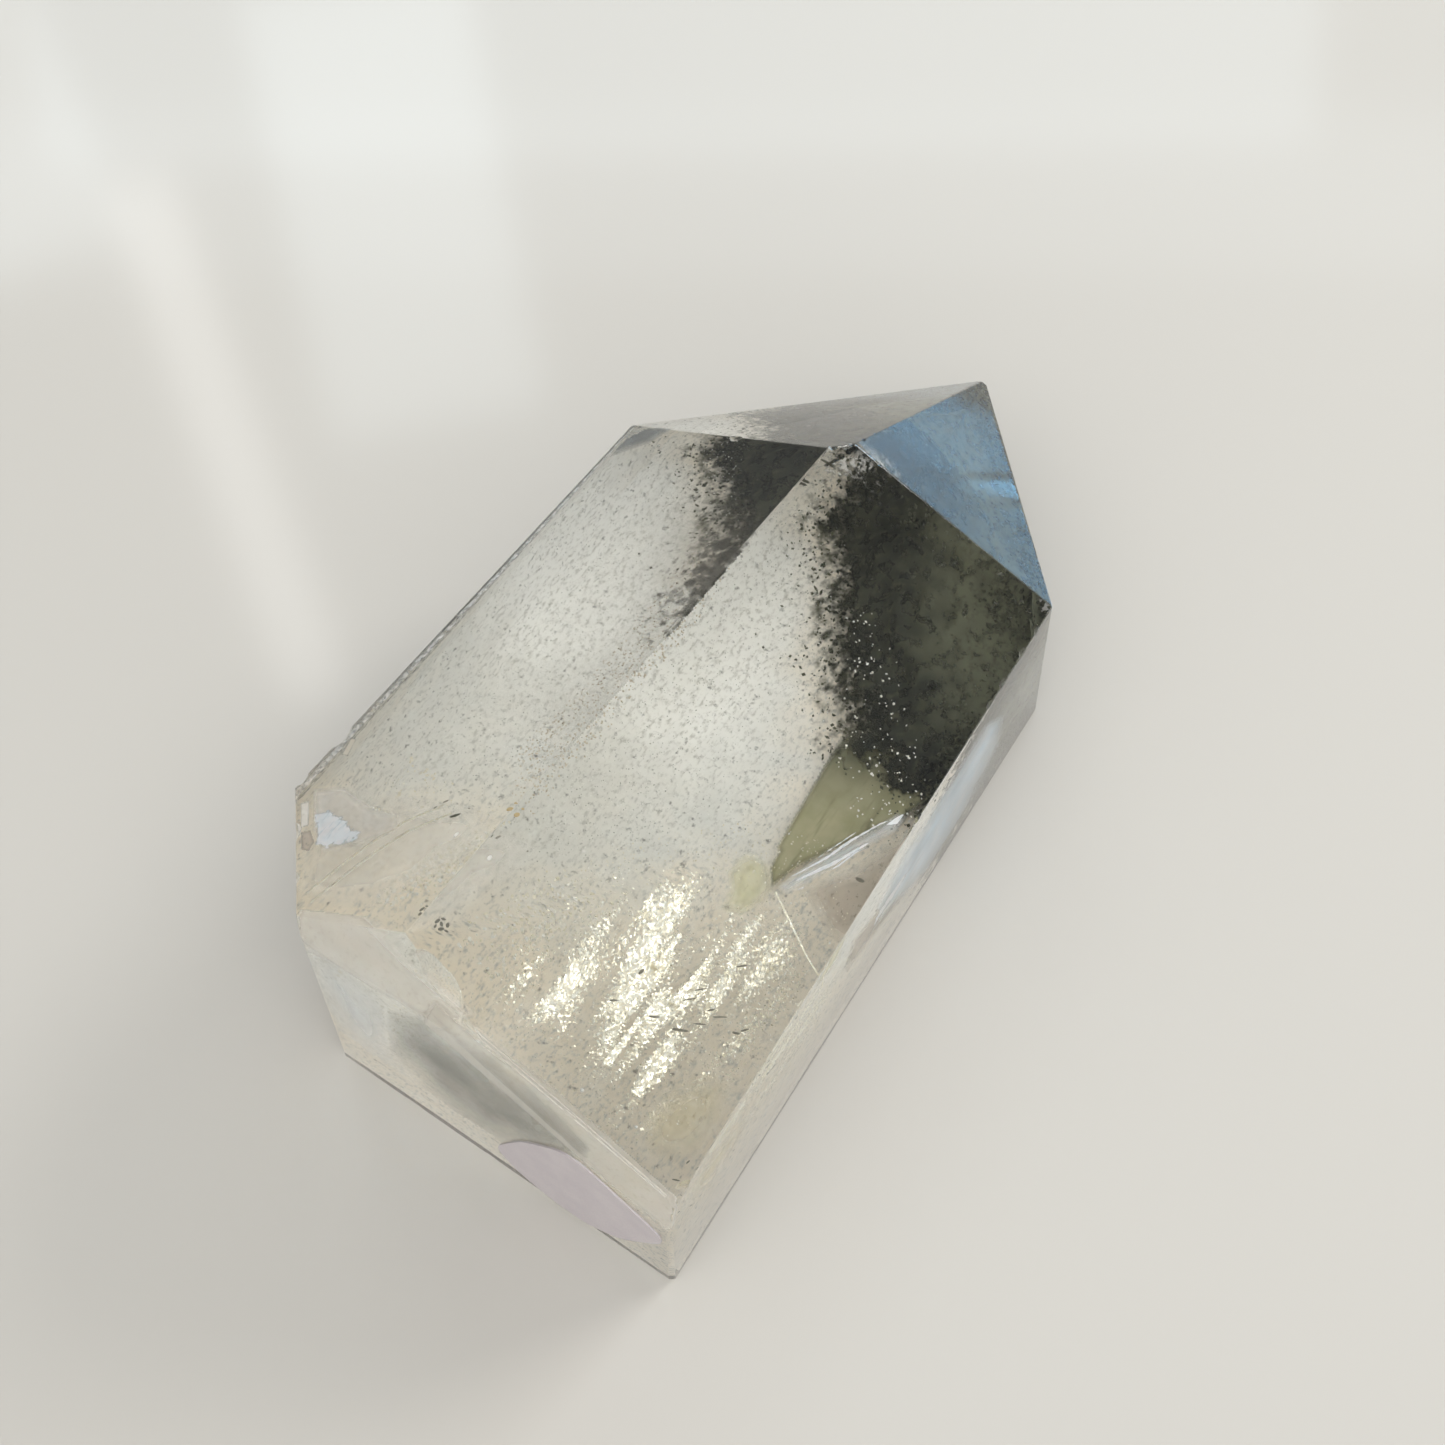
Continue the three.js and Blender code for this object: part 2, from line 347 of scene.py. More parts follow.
ball_object = bpy.data.objects.new("chip_balls", ball_mesh)
bpy.context.scene.collection.objects.link(ball_object)
chipping = clear_stone.modifiers.new("chipping", "BOOLEAN")
chipping.operation, chipping.solver, chipping.object = "DIFFERENCE", "EXACT", ball_object
chipped = bpy.data.meshes.new_from_object(clear_stone.evaluated_get(bpy.context.evaluated_depsgraph_get()))
clear_stone.modifiers.remove(chipping)
clear_stone.data = stone_mesh = chipped
bpy.data.objects.remove(ball_object)
stone_mesh.name = "clear_stone"
# The sharpest left corner is brought back to the CAD box, which it would pass by 0.03 mm
for v in stone_mesh.vertices:
    v.co.x = max(v.co.x, cad_box[0][0])
stone_mesh.materials.clear()
stone_mesh.set_sharp_from_angle(angle=math.radians(25))
check = bmesh.new()
check.from_mesh(stone_mesh)
print("stone:", len(check.faces), "faces, open edges:", sum(not e.is_manifold for e in check.edges), "volume", round(check.calc_volume() * 1e6, 2), "cm3")
check.free()

# %% Clear quartz
quartz, nodes, links, output = new_material("clear_quartz")
glass = nodes.new("ShaderNodeBsdfPrincipled")
node_input(glass, "Base Color", (1, 1, 1, 1))
node_input(glass, "Metallic", 0)
node_input(glass, "Roughness", 0.0)
node_input(glass, "IOR", 1.544)
node_input(glass, "Transmission Weight", 1.0)
links.new(glass.outputs[0], output.inputs["Surface"])
smoke = nodes.new("ShaderNodeVolumeAbsorption")
node_input(smoke, "Color", (0.93, 0.91, 0.84, 1))
node_input(smoke, "Density", 14.0)
links.new(smoke.outputs[0], output.inputs["Volume"])
stone_mesh.materials.append(quartz)

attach(clear_stone, "root")
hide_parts("quartz_tower")

# %% [markdown]
# ## Looking into the stone
# What grew inside the stone is placed from the photograph. A ray from the camera bends where it
# enters a polished facet, by Snell's law, and then runs straight.

# %% Bent rays
IOR = 1.544
facet_normals = np.array([n for n, _ in facets.values()])
facet_offsets = np.array([d for _, d in facets.values()])
eye = np.array(camera_place)
eye_turn = np.array(camera_turn)


def unit(v):
    return v / np.linalg.norm(v, axis=-1, keepdims=True)


def depth_inside(points):
    """How far each point is from the nearest facet; negative outside."""
    return (facet_offsets - points @ facet_normals.T).min(axis=-1)


def to_pixel(points):
    """Where a point with nothing in front of it shows in the photograph."""
    q = (points - eye) @ eye_turn
    half = PHOTO_SIZE / 2
    return np.stack([half + FOCAL_PX * q[..., 0] / -q[..., 2], half - FOCAL_PX * q[..., 1] / -q[..., 2]], axis=-1)


def bend(directions, normal):
    """The direction inside the stone of a ray that meets a facet from outside."""
    facing = -(directions @ normal)[..., None]
    return directions / IOR + (facing / IOR - np.sqrt(1 - (1 - facing ** 2) / IOR ** 2)) * normal


def look_in(pixels, face):
    """Entry point, inside direction and length of the way through for rays through a facet."""
    normal, offset = facets[face]
    pixels = np.atleast_2d(np.array(pixels, float))
    half = PHOTO_SIZE / 2
    local = np.stack([(pixels[:, 0] - half) / FOCAL_PX, (half - pixels[:, 1]) / FOCAL_PX, -np.ones(len(pixels))], axis=-1)
    outside = unit(local @ eye_turn.T)
    entry = eye + outside * ((offset - normal @ eye) / (outside @ normal))[:, None]
    inside = bend(outside, normal)
    steps = inside @ facet_normals.T
    way = np.where(steps > 1e-6, (facet_offsets - entry @ facet_normals.T) / np.where(steps > 1e-6, steps, 1), 1)
    return entry, inside, way.min(axis=-1)


def seen_at(points, face):
    """Photograph pixels where inside points show through a facet, and whether they do."""
    normal, offset = facets[face]
    entry = points + normal * (offset - points @ normal)[:, None]
    for _ in range(6):
        inside = bend(unit(entry - eye), normal)
        entry = points + inside * ((offset - points @ normal) / (inside @ normal))[:, None]
    shows = (facet_offsets - entry @ facet_normals.T).min(axis=-1) > -1e-5
    return to_pixel(entry), shows


entry, inside, way = look_in([(700, 680)], "upper_right")
back, shows = seen_at(entry + inside * way[:, None] * 0.8, "upper_right")
print("a ray through pixel 700, 680 comes back to", back.round(1), shows)

# %% [markdown]
# ## Grains by Geometry Nodes
# The green cloud is thousands of mineral grains. They could be painted on a sheet, but grains with
# a shape and a place look right from every side. Python decides where the grains are and how big.
# One Geometry Nodes tree puts a small eight-sided grain on each point, turns and flattens each one
# by its own random values, and makes the instances real.

# %% Grain tree


def add(tree, kind, **inputs):
    """A node with some of its inputs set by name."""
    node = tree.nodes.new(kind)
    for name, value in inputs.items():
        node.inputs[name.replace("_", " ")].default_value = value
    return node


def grain_tree(name, shape, sides):
    """Points with a grain_size become real grains or flakes. Flatness is the thinnest share."""
    tree = bpy.data.node_groups.new(name, "GeometryNodeTree")
    tree.interface.new_socket("Geometry", in_out="INPUT", socket_type="NodeSocketGeometry")
    for label, kind, value in (("Flatness", "NodeSocketFloat", 0.5), ("Tilt", "NodeSocketFloat", math.pi), ("Seed", "NodeSocketInt", 1)):
        tree.interface.new_socket(label, in_out="INPUT", socket_type=kind).default_value = value
    tree.interface.new_socket("Material", in_out="INPUT", socket_type="NodeSocketMaterial")
    tree.interface.new_socket("Geometry", in_out="OUTPUT", socket_type="NodeSocketGeometry")
    start, end = tree.nodes.new("NodeGroupInput"), tree.nodes.new("NodeGroupOutput")
    wire = tree.links.new

    points = tree.nodes.new("GeometryNodeMeshToPoints")
    wire(start.outputs["Geometry"], points.inputs["Mesh"])

    if shape == "grain":
        grain = tree.nodes.new("GeometryNodeMeshUVSphere")
        grain.inputs["Segments"].default_value, grain.inputs["Rings"].default_value = sides, 2
        grain.inputs["Radius"].default_value = 0.5
    else:
        grain = tree.nodes.new("GeometryNodeMeshCylinder")
        grain.inputs["Vertices"].default_value = sides
        grain.inputs["Radius"].default_value, grain.inputs["Depth"].default_value = 0.5, 1.0

    size = tree.nodes.new("GeometryNodeInputNamedAttribute")
    size.data_type = "FLOAT"
    size.inputs["Name"].default_value = "grain_size"

    spread = tree.nodes.new("FunctionNodeRandomValue")
    spread.data_type = "FLOAT_VECTOR"
    low, high = tree.nodes.new("ShaderNodeCombineXYZ"), tree.nodes.new("ShaderNodeCombineXYZ")
    low.inputs["X"].default_value, low.inputs["Y"].default_value = 0.7, 0.45
    high.inputs["X"].default_value, high.inputs["Y"].default_value = 1.25, 1.0
    thick = tree.nodes.new("ShaderNodeMath")
    thick.operation = "MULTIPLY"
    thick.inputs[1].default_value = 1.6
    wire(start.outputs["Flatness"], low.inputs["Z"])
    wire(start.outputs["Flatness"], thick.inputs[0])
    wire(thick.outputs[0], high.inputs["Z"])
    wire(low.outputs[0], spread.inputs["Min"])
    wire(high.outputs[0], spread.inputs["Max"])
    wire(start.outputs["Seed"], spread.inputs["Seed"])

    scaled = tree.nodes.new("ShaderNodeVectorMath")
    scaled.operation = "SCALE"
    wire(spread.outputs["Value"], scaled.inputs[0])
    wire(size.outputs["Attribute"], scaled.inputs["Scale"])

    tilt_low, tilt_high = tree.nodes.new("ShaderNodeCombineXYZ"), tree.nodes.new("ShaderNodeCombineXYZ")
    minus = tree.nodes.new("ShaderNodeMath")
    minus.operation = "MULTIPLY"
    minus.inputs[1].default_value = -1
    wire(start.outputs["Tilt"], minus.inputs[0])
    for axis in "XY":
        wire(minus.outputs[0], tilt_low.inputs[axis])
        wire(start.outputs["Tilt"], tilt_high.inputs[axis])
    tilt_high.inputs["Z"].default_value = math.tau
    turns = tree.nodes.new("FunctionNodeRandomValue")
    turns.data_type = "FLOAT_VECTOR"
    wire(tilt_low.outputs[0], turns.inputs["Min"])
    wire(tilt_high.outputs[0], turns.inputs["Max"])
    seed_two = tree.nodes.new("ShaderNodeMath")
    seed_two.operation = "ADD"
    seed_two.inputs[1].default_value = 77
    wire(start.outputs["Seed"], seed_two.inputs[0])
    wire(seed_two.outputs[0], turns.inputs["Seed"])

    placed = tree.nodes.new("GeometryNodeInstanceOnPoints")
    wire(points.outputs["Points"], placed.inputs["Points"])
    wire(grain.outputs["Mesh"], placed.inputs["Instance"])
    wire(turns.outputs["Value"], placed.inputs["Rotation"])
    wire(scaled.outputs["Vector"], placed.inputs["Scale"])
    real = tree.nodes.new("GeometryNodeRealizeInstances")
    wire(placed.outputs["Instances"], real.inputs["Geometry"])
    finish = tree.nodes.new("GeometryNodeSetMaterial")
    wire(real.outputs["Geometry"], finish.inputs["Geometry"])
    wire(start.outputs["Material"], finish.inputs["Material"])
    wire(finish.outputs["Geometry"], end.inputs["Geometry"])
    return tree


grain_maker = grain_tree("grains_on_points", "grain", 4)
speck_maker = grain_tree("specks_on_points", "grain", 3)
flake_maker = grain_tree("flakes_on_points", "flake", 5)


def made_real(name, tree, points, sizes, tones, slot, material, **inputs):
    """Runs a tree on points, keeps its result as a plain mesh and lets it ride on the stone."""
    source = mesh_object(name + "_points", points, [])
    for label, values in (("grain_size", sizes), ("tone", tones)):
        source.data.attributes.new(label, "FLOAT", "POINT").data.foreach_set("value", np.asarray(values, np.float32))
    modifier = source.modifiers.new("grains", "NODES")
    modifier.node_group = tree
    sockets = {s.name: s.identifier for s in tree.interface.items_tree if s.in_out == "INPUT"}
    modifier[sockets["Material"]] = material
    for label, value in inputs.items():
        modifier[sockets[label]] = value
    evaluated = source.evaluated_get(bpy.context.evaluated_depsgraph_get())
    mesh = bpy.data.meshes.new_from_object(evaluated)
    mesh.name = name
    bpy.data.objects.remove(source)
    made = bpy.data.objects.new(name, mesh)
    bpy.context.scene.collection.objects.link(made)
    if material.name not in [m.name for m in mesh.materials if m]:
        mesh.materials.append(material)
    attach(made, "root")
    triangles = sum(len(p.vertices) - 2 for p in mesh.polygons)
    print(name, len(points), "grains,", triangles, "triangles")
    return made


# %% [markdown]
# ## The green cloud
# Chlorite settled inside the point as a cloud of dark flakes. Through both upper facets its near
# edge shows close to the stone's foot, so the cloud starts as a thin layer there and grows thicker
# towards the point. Random points are kept where both facets show the cloud. A noise field moves
# the edge back and forth, which leaves the loose flecks and gaps along it.

# %% Cloud points
rng = np.random.default_rng(11)
# Where the cloud's left edge shows in the photograph: rows, and the columns at those rows
EDGE_ROWS_RIGHT = [430, 480, 520, 560, 600, 650, 700, 750, 775, 795, 830]
EDGE_COLUMNS_RIGHT = [842, 808, 784, 794, 789, 793, 803, 809, 828, 862, 905]
EDGE_ROWS_LEFT = [425, 450, 480, 510, 540, 570, 600, 640]
EDGE_COLUMNS_LEFT = [676, 668, 664, 662, 666, 674, 684, 680]
PIXELS_PER_MM = 9.3
stone_low, stone_high = np.array(cad_box[0]), np.array(cad_box[1])


def wander(points, size, seed):
    """Smooth noise from about -1 to 1 with features of a size in metres."""
    shift = Vector((seed * 3.7, seed * 1.3, seed * 7.1))
    return np.array([noise.noise(Vector(p) / size + shift) for p in points])


def past_edge(points):
    """How far, in mm, each inside point shows past the cloud's edge in the photograph."""
    past = np.full(len(points), 1e3)
    for face, rows, columns in (("upper_right", EDGE_ROWS_RIGHT, EDGE_COLUMNS_RIGHT), ("upper_left", EDGE_ROWS_LEFT, EDGE_COLUMNS_LEFT)):
        pixels, shows = seen_at(points, face)
        here = (pixels[:, 0] - np.interp(pixels[:, 1], rows, columns)) / PIXELS_PER_MM
        past = np.where(shows, np.minimum(past, here), past)
    hidden = past > 999
    across = (points[:, 1] + 2 * MM) / MM
    return np.where(hidden, across, past)


def in_the_stone(count, margin, low=stone_low, high=stone_high):
    found = rng.uniform(low, high, (count, 3))
    return found[depth_inside(found) > margin]


LOWER_FACETS = ["foot", "tip_foot", "tip_lower_left", "lower_left"]


def above_lower_facets(points):
    """How far, in mm, each point is from the nearest of the facets that the stone lies towards."""
    return np.min([facets[n][1] - points @ facets[n][0] for n in LOWER_FACETS], axis=0) / MM


def cloud_thickness(points, past):
    """How thick the cloud lies on those facets, in mm."""
    return 2.4 + 0.26 * np.clip(past, 0, 16) + wander(points, 3.5 * MM, 3) * 1.2


loose = in_the_stone(420000, 0.45 * MM, low=np.array([stone_low[0], -0.006, 0]))
loose = loose[above_lower_facets(loose) < 14]
past = past_edge(loose)
loose, past = loose[past > -9], past[past > -9]
fleck = wander(loose, 1.0 * MM, 1) * 6.0 + wander(loose, 4.5 * MM, 2) * 2.5
inside_cloud = (past + fleck > 1.0) & (above_lower_facets(loose) < cloud_thickness(loose, past))
cloud = loose[inside_cloud]
print("cloud candidates", len(loose), "kept", len(cloud))

depth_past = past[inside_cloud]
chlorite_tone = np.clip(0.24 + 0.030 * np.clip(depth_past - 6, 0, 14) + 0.30 * wander(cloud, 4 * MM, 4) + rng.normal(0, 0.05, len(cloud)), 0, 1)

# %% [markdown]
# ## Mineral colours
# The grains are not one flat green: each grain has its own tone, stored on it by Python, and a
# fine noise in the material breaks it up further. The tone attribute picks a colour from a ramp.

# %% Toned mineral material


def toned_mineral(name, colours, roughness, mottle_size, specular=0.3):
    """A mineral whose grains take a colour from their own tone, broken up by a fine noise."""
    material, nodes, links, output = new_material(name)
    shader = nodes.new("ShaderNodeBsdfPrincipled")
    node_input(shader, "Roughness", roughness)
    node_input(shader, "Specular IOR Level", specular)
    tone = nodes.new("ShaderNodeAttribute")
    tone.attribute_name = "tone"
    place = nodes.new("ShaderNodeTexCoord")
    mottle = nodes.new("ShaderNodeTexNoise")
    node_input(mottle, "Scale", 1 / mottle_size)
    node_input(mottle, "Detail", 3)
    links.new(place.outputs["Object"], mottle.inputs["Vector"])
    mixed = nodes.new("ShaderNodeMath")
    mixed.operation = "MULTIPLY_ADD"
    mixed.inputs[1].default_value = 0.3
    links.new(mottle.outputs["Fac"], mixed.inputs[0])
    shifted = nodes.new("ShaderNodeMath")
    shifted.operation = "SUBTRACT"
    shifted.inputs[1].default_value = 0.15
    links.new(tone.outputs["Fac"], shifted.inputs[0])
    links.new(shifted.outputs[0], mixed.inputs[2])
    ramp = nodes.new("ShaderNodeValToRGB")
    while len(ramp.color_ramp.elements) < len(colours):
        ramp.color_ramp.elements.new(0.5)
    for i, colour in enumerate(colours):
        ramp.color_ramp.elements[i].position = i / (len(colours) - 1)
        ramp.color_ramp.elements[i].color = (*colour, 1)
    links.new(mixed.outputs[0], ramp.inputs["Fac"])
    links.new(ramp.outputs["Color"], shader.inputs["Base Color"])
    links.new(shader.outputs[0], output.inputs["Surface"])
    return material


chlorite = toned_mineral("chlorite", [(0.034, 0.038, 0.024), (0.085, 0.090, 0.058), (0.15, 0.155, 0.10)], 0.6, 2 * MM)
edge_chlorite = toned_mineral("edge_chlorite", [(0.075, 0.078, 0.05), (0.13, 0.13, 0.085), (0.24, 0.23, 0.16)], 0.6, 2 * MM)
mineral_veil = toned_mineral("mineral_veil", [(0.16, 0.165, 0.145), (0.60, 0.60, 0.56), (0.94, 0.94, 0.91)], 0.5, 3 * MM)
fracture_spark = toned_mineral("fracture_spark", [(0.62, 0.55, 0.38), (0.88, 0.83, 0.68), (0.97, 0.96, 0.92)], 0.25, 1.5 * MM, 0.8)
pale_stain = toned_mineral("pale_stain", [(0.38, 0.32, 0.24), (0.62, 0.55, 0.44), (0.80, 0.74, 0.62)], 0.5, 1.5 * MM)
grey_dust = toned_mineral("grey_dust", [(0.10, 0.095, 0.07), (0.20, 0.19, 0.15), (0.32, 0.30, 0.24)], 0.5, 1 * MM)
iron_stain = toned_mineral("iron_stain", [(0.20, 0.11, 0.05), (0.55, 0.33, 0.12), (0.72, 0.62, 0.36)], 0.5, 1.5 * MM)
print("minerals:", chlorite.name, mineral_veil.name, fracture_spark.name, iron_stain.name)

# %% Cloud grains
MOST_GRAINS = 24000


def some(mask, most=MOST_GRAINS):
    """At most that many of the places where mask is true, picked at random."""
    chosen = np.flatnonzero(mask)
    if len(chosen) > most:
        chosen = np.sort(rng.choice(chosen, most, replace=False))
    return chosen


depth_share = np.clip(depth_past / 9 + rng.normal(0, 0.12, len(cloud)), 0, 1)
cloud_sizes = (rng.uniform(0.22, 0.5, len(cloud)) + depth_share * rng.uniform(0.2, 0.6, len(cloud))) * MM
# A grain reaches at most 0.63 of its size from its middle, so this keeps it under the polished skin
cloud_sizes = np.minimum(cloud_sizes, 1.5 * depth_inside(cloud))
edge_part = some((depth_share < 0.5) & (rng.uniform(0, 1, len(cloud)) < 0.3), 3500)
heart_part = some((depth_share >= 0.5) & (above_lower_facets(cloud) < cloud_thickness(cloud, depth_past) - 1.8), 11000)
made_real("chlorite_edge_grains", grain_maker, cloud[edge_part], cloud_sizes[edge_part], chlorite_tone[edge_part], "chlorite", edge_chlorite, Flatness=0.4, Seed=3)
made_real("chlorite_heart_grains", grain_maker, cloud[heart_part], cloud_sizes[heart_part], chlorite_tone[heart_part], "chlorite", chlorite, Flatness=0.4, Seed=4)

# %% [markdown]
# ## Places from the photograph
# The smaller features are named by their outlines in the photograph. Random pixels inside an
# outline are looked at through the facet they show through, and a share of the way through the
# stone gives each its depth.

# %% Outlines


def within(pixels, outline):
    """Whether each pixel lies inside a closed outline."""
    x, y = pixels[:, 0], pixels[:, 1]
    inside_it = np.zeros(len(pixels), bool)
    for (x0, y0), (x1, y1) in zip(outline, outline[1:] + outline[:1]):
        crosses = (y0 > y) != (y1 > y)
        at = x0 + (y - y0) * (x1 - x0) / (y1 - y0 if y1 != y0 else 1)
        inside_it ^= crosses & (x < at)
    return inside_it


def inward(pixels, outline):
    """How far inside an outline each pixel is, in pixels; negative outside it."""
    corners = np.array(outline, float)
    nearest = np.full(len(pixels), 1e9)
    for start, end in zip(corners, np.roll(corners, -1, axis=0)):
        side = end - start
        along = np.clip((pixels - start) @ side / (side @ side), 0, 1)
        nearest = np.minimum(nearest, np.linalg.norm(pixels - start - along[:, None] * side, axis=1))
    return np.where(within(pixels, outline), nearest, -nearest)


def pixels_in(outline, count):
    corners = np.array(outline, float)
    found = rng.uniform(corners.min(0), corners.max(0), (count, 2))
    return found[within(found, outline)]


def places_in(outline, face, count, nearest, farthest):
    """Random places seen inside an outline, between two shares of the way through the stone."""
    entry, inside, way = look_in(pixels_in(outline, count), face)
    share = rng.uniform(nearest, farthest, len(entry))
    found = entry + inside * (way * share)[:, None]
    return found[(depth_inside(found) > 0.25 * MM) & (depth_inside(entry) > -0.02 * MM)]


# %% [markdown]
# ## Speckle, shared by the minerals
# Veil, crack skins and stains all carry small soft darker specks, drawn out along the stone. A
# shader node group holds that once: each material places it with its own speck size and stretch,
# and mixes its own two colours by the result.

# %% Speckle group
def speckle_group():
    group = bpy.data.node_groups.new("speckle", "ShaderNodeTree")
    for label, value in (("Speck Size", 0.0005), ("Stretch", 2.0), ("Threshold", 0.5), ("Softness", 0.12)):
        group.interface.new_socket(label, in_out="INPUT", socket_type="NodeSocketFloat").default_value = value
    group.interface.new_socket("Specks", in_out="OUTPUT", socket_type="NodeSocketFloat")
    start, end = group.nodes.new("NodeGroupInput"), group.nodes.new("NodeGroupOutput")
    wire = group.links.new
    place = group.nodes.new("ShaderNodeTexCoord")
    split, joined = group.nodes.new("ShaderNodeSeparateXYZ"), group.nodes.new("ShaderNodeCombineXYZ")
    wire(place.outputs["Object"], split.inputs[0])
    wire(split.outputs["X"], joined.inputs["X"])
    wire(split.outputs["Z"], joined.inputs["Z"])
    wire(math_node(group, "DIVIDE", split.outputs["Y"], start.outputs["Stretch"]), joined.inputs["Y"])
    scale = math_node(group, "DIVIDE", 1.0, start.outputs["Speck Size"])
    specks = group.nodes.new("ShaderNodeTexNoise")
    node_input(specks, "Detail", 2)
    node_input(specks, "Roughness", 0.55)
    wire(joined.outputs[0], specks.inputs["Vector"])
    wire(scale, specks.inputs["Scale"])
    fade = group.nodes.new("ShaderNodeMapRange")
    fade.interpolation_type = "SMOOTHSTEP"
    wire(specks.outputs["Fac"], fade.inputs["Value"])
    wire(start.outputs["Threshold"], fade.inputs["From Min"])
    wire(math_node(group, "ADD", start.outputs["Threshold"], start.outputs["Softness"]), fade.inputs["From Max"])
    wire(fade.outputs["Result"], end.inputs["Specks"])
    return group


speckle = speckle_group()


def colour_mix(tree, factor, first, second):
    """A colour mix; each colour is a value or another node's output."""
    mix = tree.nodes.new("ShaderNodeMix")
    mix.data_type = "RGBA"
    tree.links.new(factor, mix.inputs["Factor"])
    for socket, value in ((mix.inputs["A"], first), (mix.inputs["B"], second)):
        if isinstance(value, tuple):
            socket.default_value = (*value, 1)
        else:
            tree.links.new(value, socket)
    return mix.outputs["Result"]


def speck_mask(tree, size, stretch, threshold, softness):
    """The speckle group placed in a material; the threshold is a number or another node's output."""
    placed = tree.nodes.new("ShaderNodeGroup")
    placed.node_tree = speckle
    for label, value in (("Speck Size", size), ("Stretch", stretch), ("Softness", softness)):
        node_input(placed, label, value)
    if isinstance(threshold, float):
        node_input(placed, "Threshold", threshold)
    else:
        tree.links.new(threshold, placed.inputs["Threshold"])
    return placed.outputs["Specks"]


NO_SPECKS, SPECK_SPAN = 0.80, 0.68


def growing_mask(tree, attribute, size, softness, stretch=1.0):
    """Soft flecks that appear where an attribute of the mesh rises from 0, and merge where it nears 1."""
    where = tree.nodes.new("ShaderNodeAttribute")
    where.attribute_name = attribute
    threshold = math_node(tree, "MULTIPLY_ADD", where.outputs["Fac"], -SPECK_SPAN)
    threshold.node.inputs[2].default_value = NO_SPECKS
    return speck_mask(tree, size, stretch, threshold, softness)


def mineral_or_painted_skin(name, ground, patch, specks, speck_size, stretch, threshold, softness, roughness=0.5, metallic=0.0,
                 patch_size=9 * MM, bump=0.0, tints=(), flecks=None, cover=None):
    """A mineral surface, or a film of painted shade or light: two ground colours in slow patches, with
    specks on them. Each tint is a further ground colour where an attribute of the mesh says so. Flecks
    (attribute, size, softness, colour) lie over everything, and cover (attribute, size, softness) thins
    the skin to nothing in flecks, or evenly by the cover attribute where it is "smooth"."""
    material, nodes, links, output = new_material(name)
    tree = material.node_tree
    shader = nodes.new("ShaderNodeBsdfPrincipled")
    node_input(shader, "Roughness", roughness)
    node_input(shader, "Metallic", metallic)
    place = nodes.new("ShaderNodeTexCoord")
    slow = nodes.new("ShaderNodeTexNoise")
    node_input(slow, "Scale", 1 / patch_size)
    node_input(slow, "Detail", 3)
    links.new(place.outputs["Object"], slow.inputs["Vector"])
    spread = nodes.new("ShaderNodeMapRange")
    node_input(spread, "From Min", 0.35)
    node_input(spread, "From Max", 0.65)
    links.new(slow.outputs["Fac"], spread.inputs["Value"])
    base = colour_mix(tree, spread.outputs["Result"], ground, patch)
    for attribute, tint in tints:
        where = nodes.new("ShaderNodeAttribute")
        where.attribute_name = attribute
        base = colour_mix(tree, where.outputs["Fac"], base, tint)
    mask = speck_mask(tree, speck_size, stretch, threshold, softness)
    base = colour_mix(tree, mask, base, specks)
    if flecks:
        attribute, size, soft, colour = flecks
        base = colour_mix(tree, growing_mask(tree, attribute, size, soft), base, colour)
    links.new(base, shader.inputs["Base Color"])
    if cover == "smooth":
        thinning = nodes.new("ShaderNodeAttribute")
        thinning.attribute_name = "cover"
        links.new(thinning.outputs["Fac"], shader.inputs["Alpha"])
    elif cover:
        links.new(growing_mask(tree, *cover), shader.inputs["Alpha"])
    if bump:
        relief = nodes.new("ShaderNodeBump")
        node_input(relief, "Distance", bump)
        links.new(mask, relief.inputs["Height"])
        links.new(relief.outputs["Normal"], shader.inputs["Normal"])
    links.new(shader.outputs[0], output.inputs["Surface"])
    return material


print("speckle group inputs:", [s.name for s in speckle.interface.items_tree if s.in_out == "INPUT"])

# %% [markdown]
# ## The pale veil
# Between the cloud and the base the stone looks hazy: a thin milky layer lies just above its foot
# and its lower left side, bright and faintly speckled. It is one bumpy sheet that follows those
# two facets from the inside. The same two outlines as in the photograph, seen through the two upper
# facets, say where it lies, and near them noise breaks it up into islands.

# %% Veil layer
VEIL_RIGHT = [(540, 790), (640, 640), (735, 500), (800, 440), (838, 470), (822, 520), (822, 600), (832, 680), (838, 745), (790, 800), (760, 862), (650, 850), (560, 850)]
VEIL_LEFT = [(325, 760), (430, 635), (560, 475), (628, 418), (735, 424), (730, 500), (690, 580), (600, 700), (560, 770), (430, 812), (350, 815)]
BED_STEP = 0.36 * MM
BED_HEIGHT = 0.9 * MM
veil_material = mineral_or_painted_skin(
    "milky_veil", (0.79, 0.795, 0.765), (0.84, 0.83, 0.785), (0.56, 0.56, 0.525), 0.45 * MM, 1.7, 0.46, 0.36,
    roughness=0.6, patch_size=9 * MM, tints=[("warmth", (0.97, 0.895, 0.775)), ("milk", (0.985, 0.99, 0.965))],
    flecks=("dusk", 1.2 * MM, 0.42, (0.105, 0.105, 0.066)), cover=("cover", 0.7 * MM, 0.30),
)


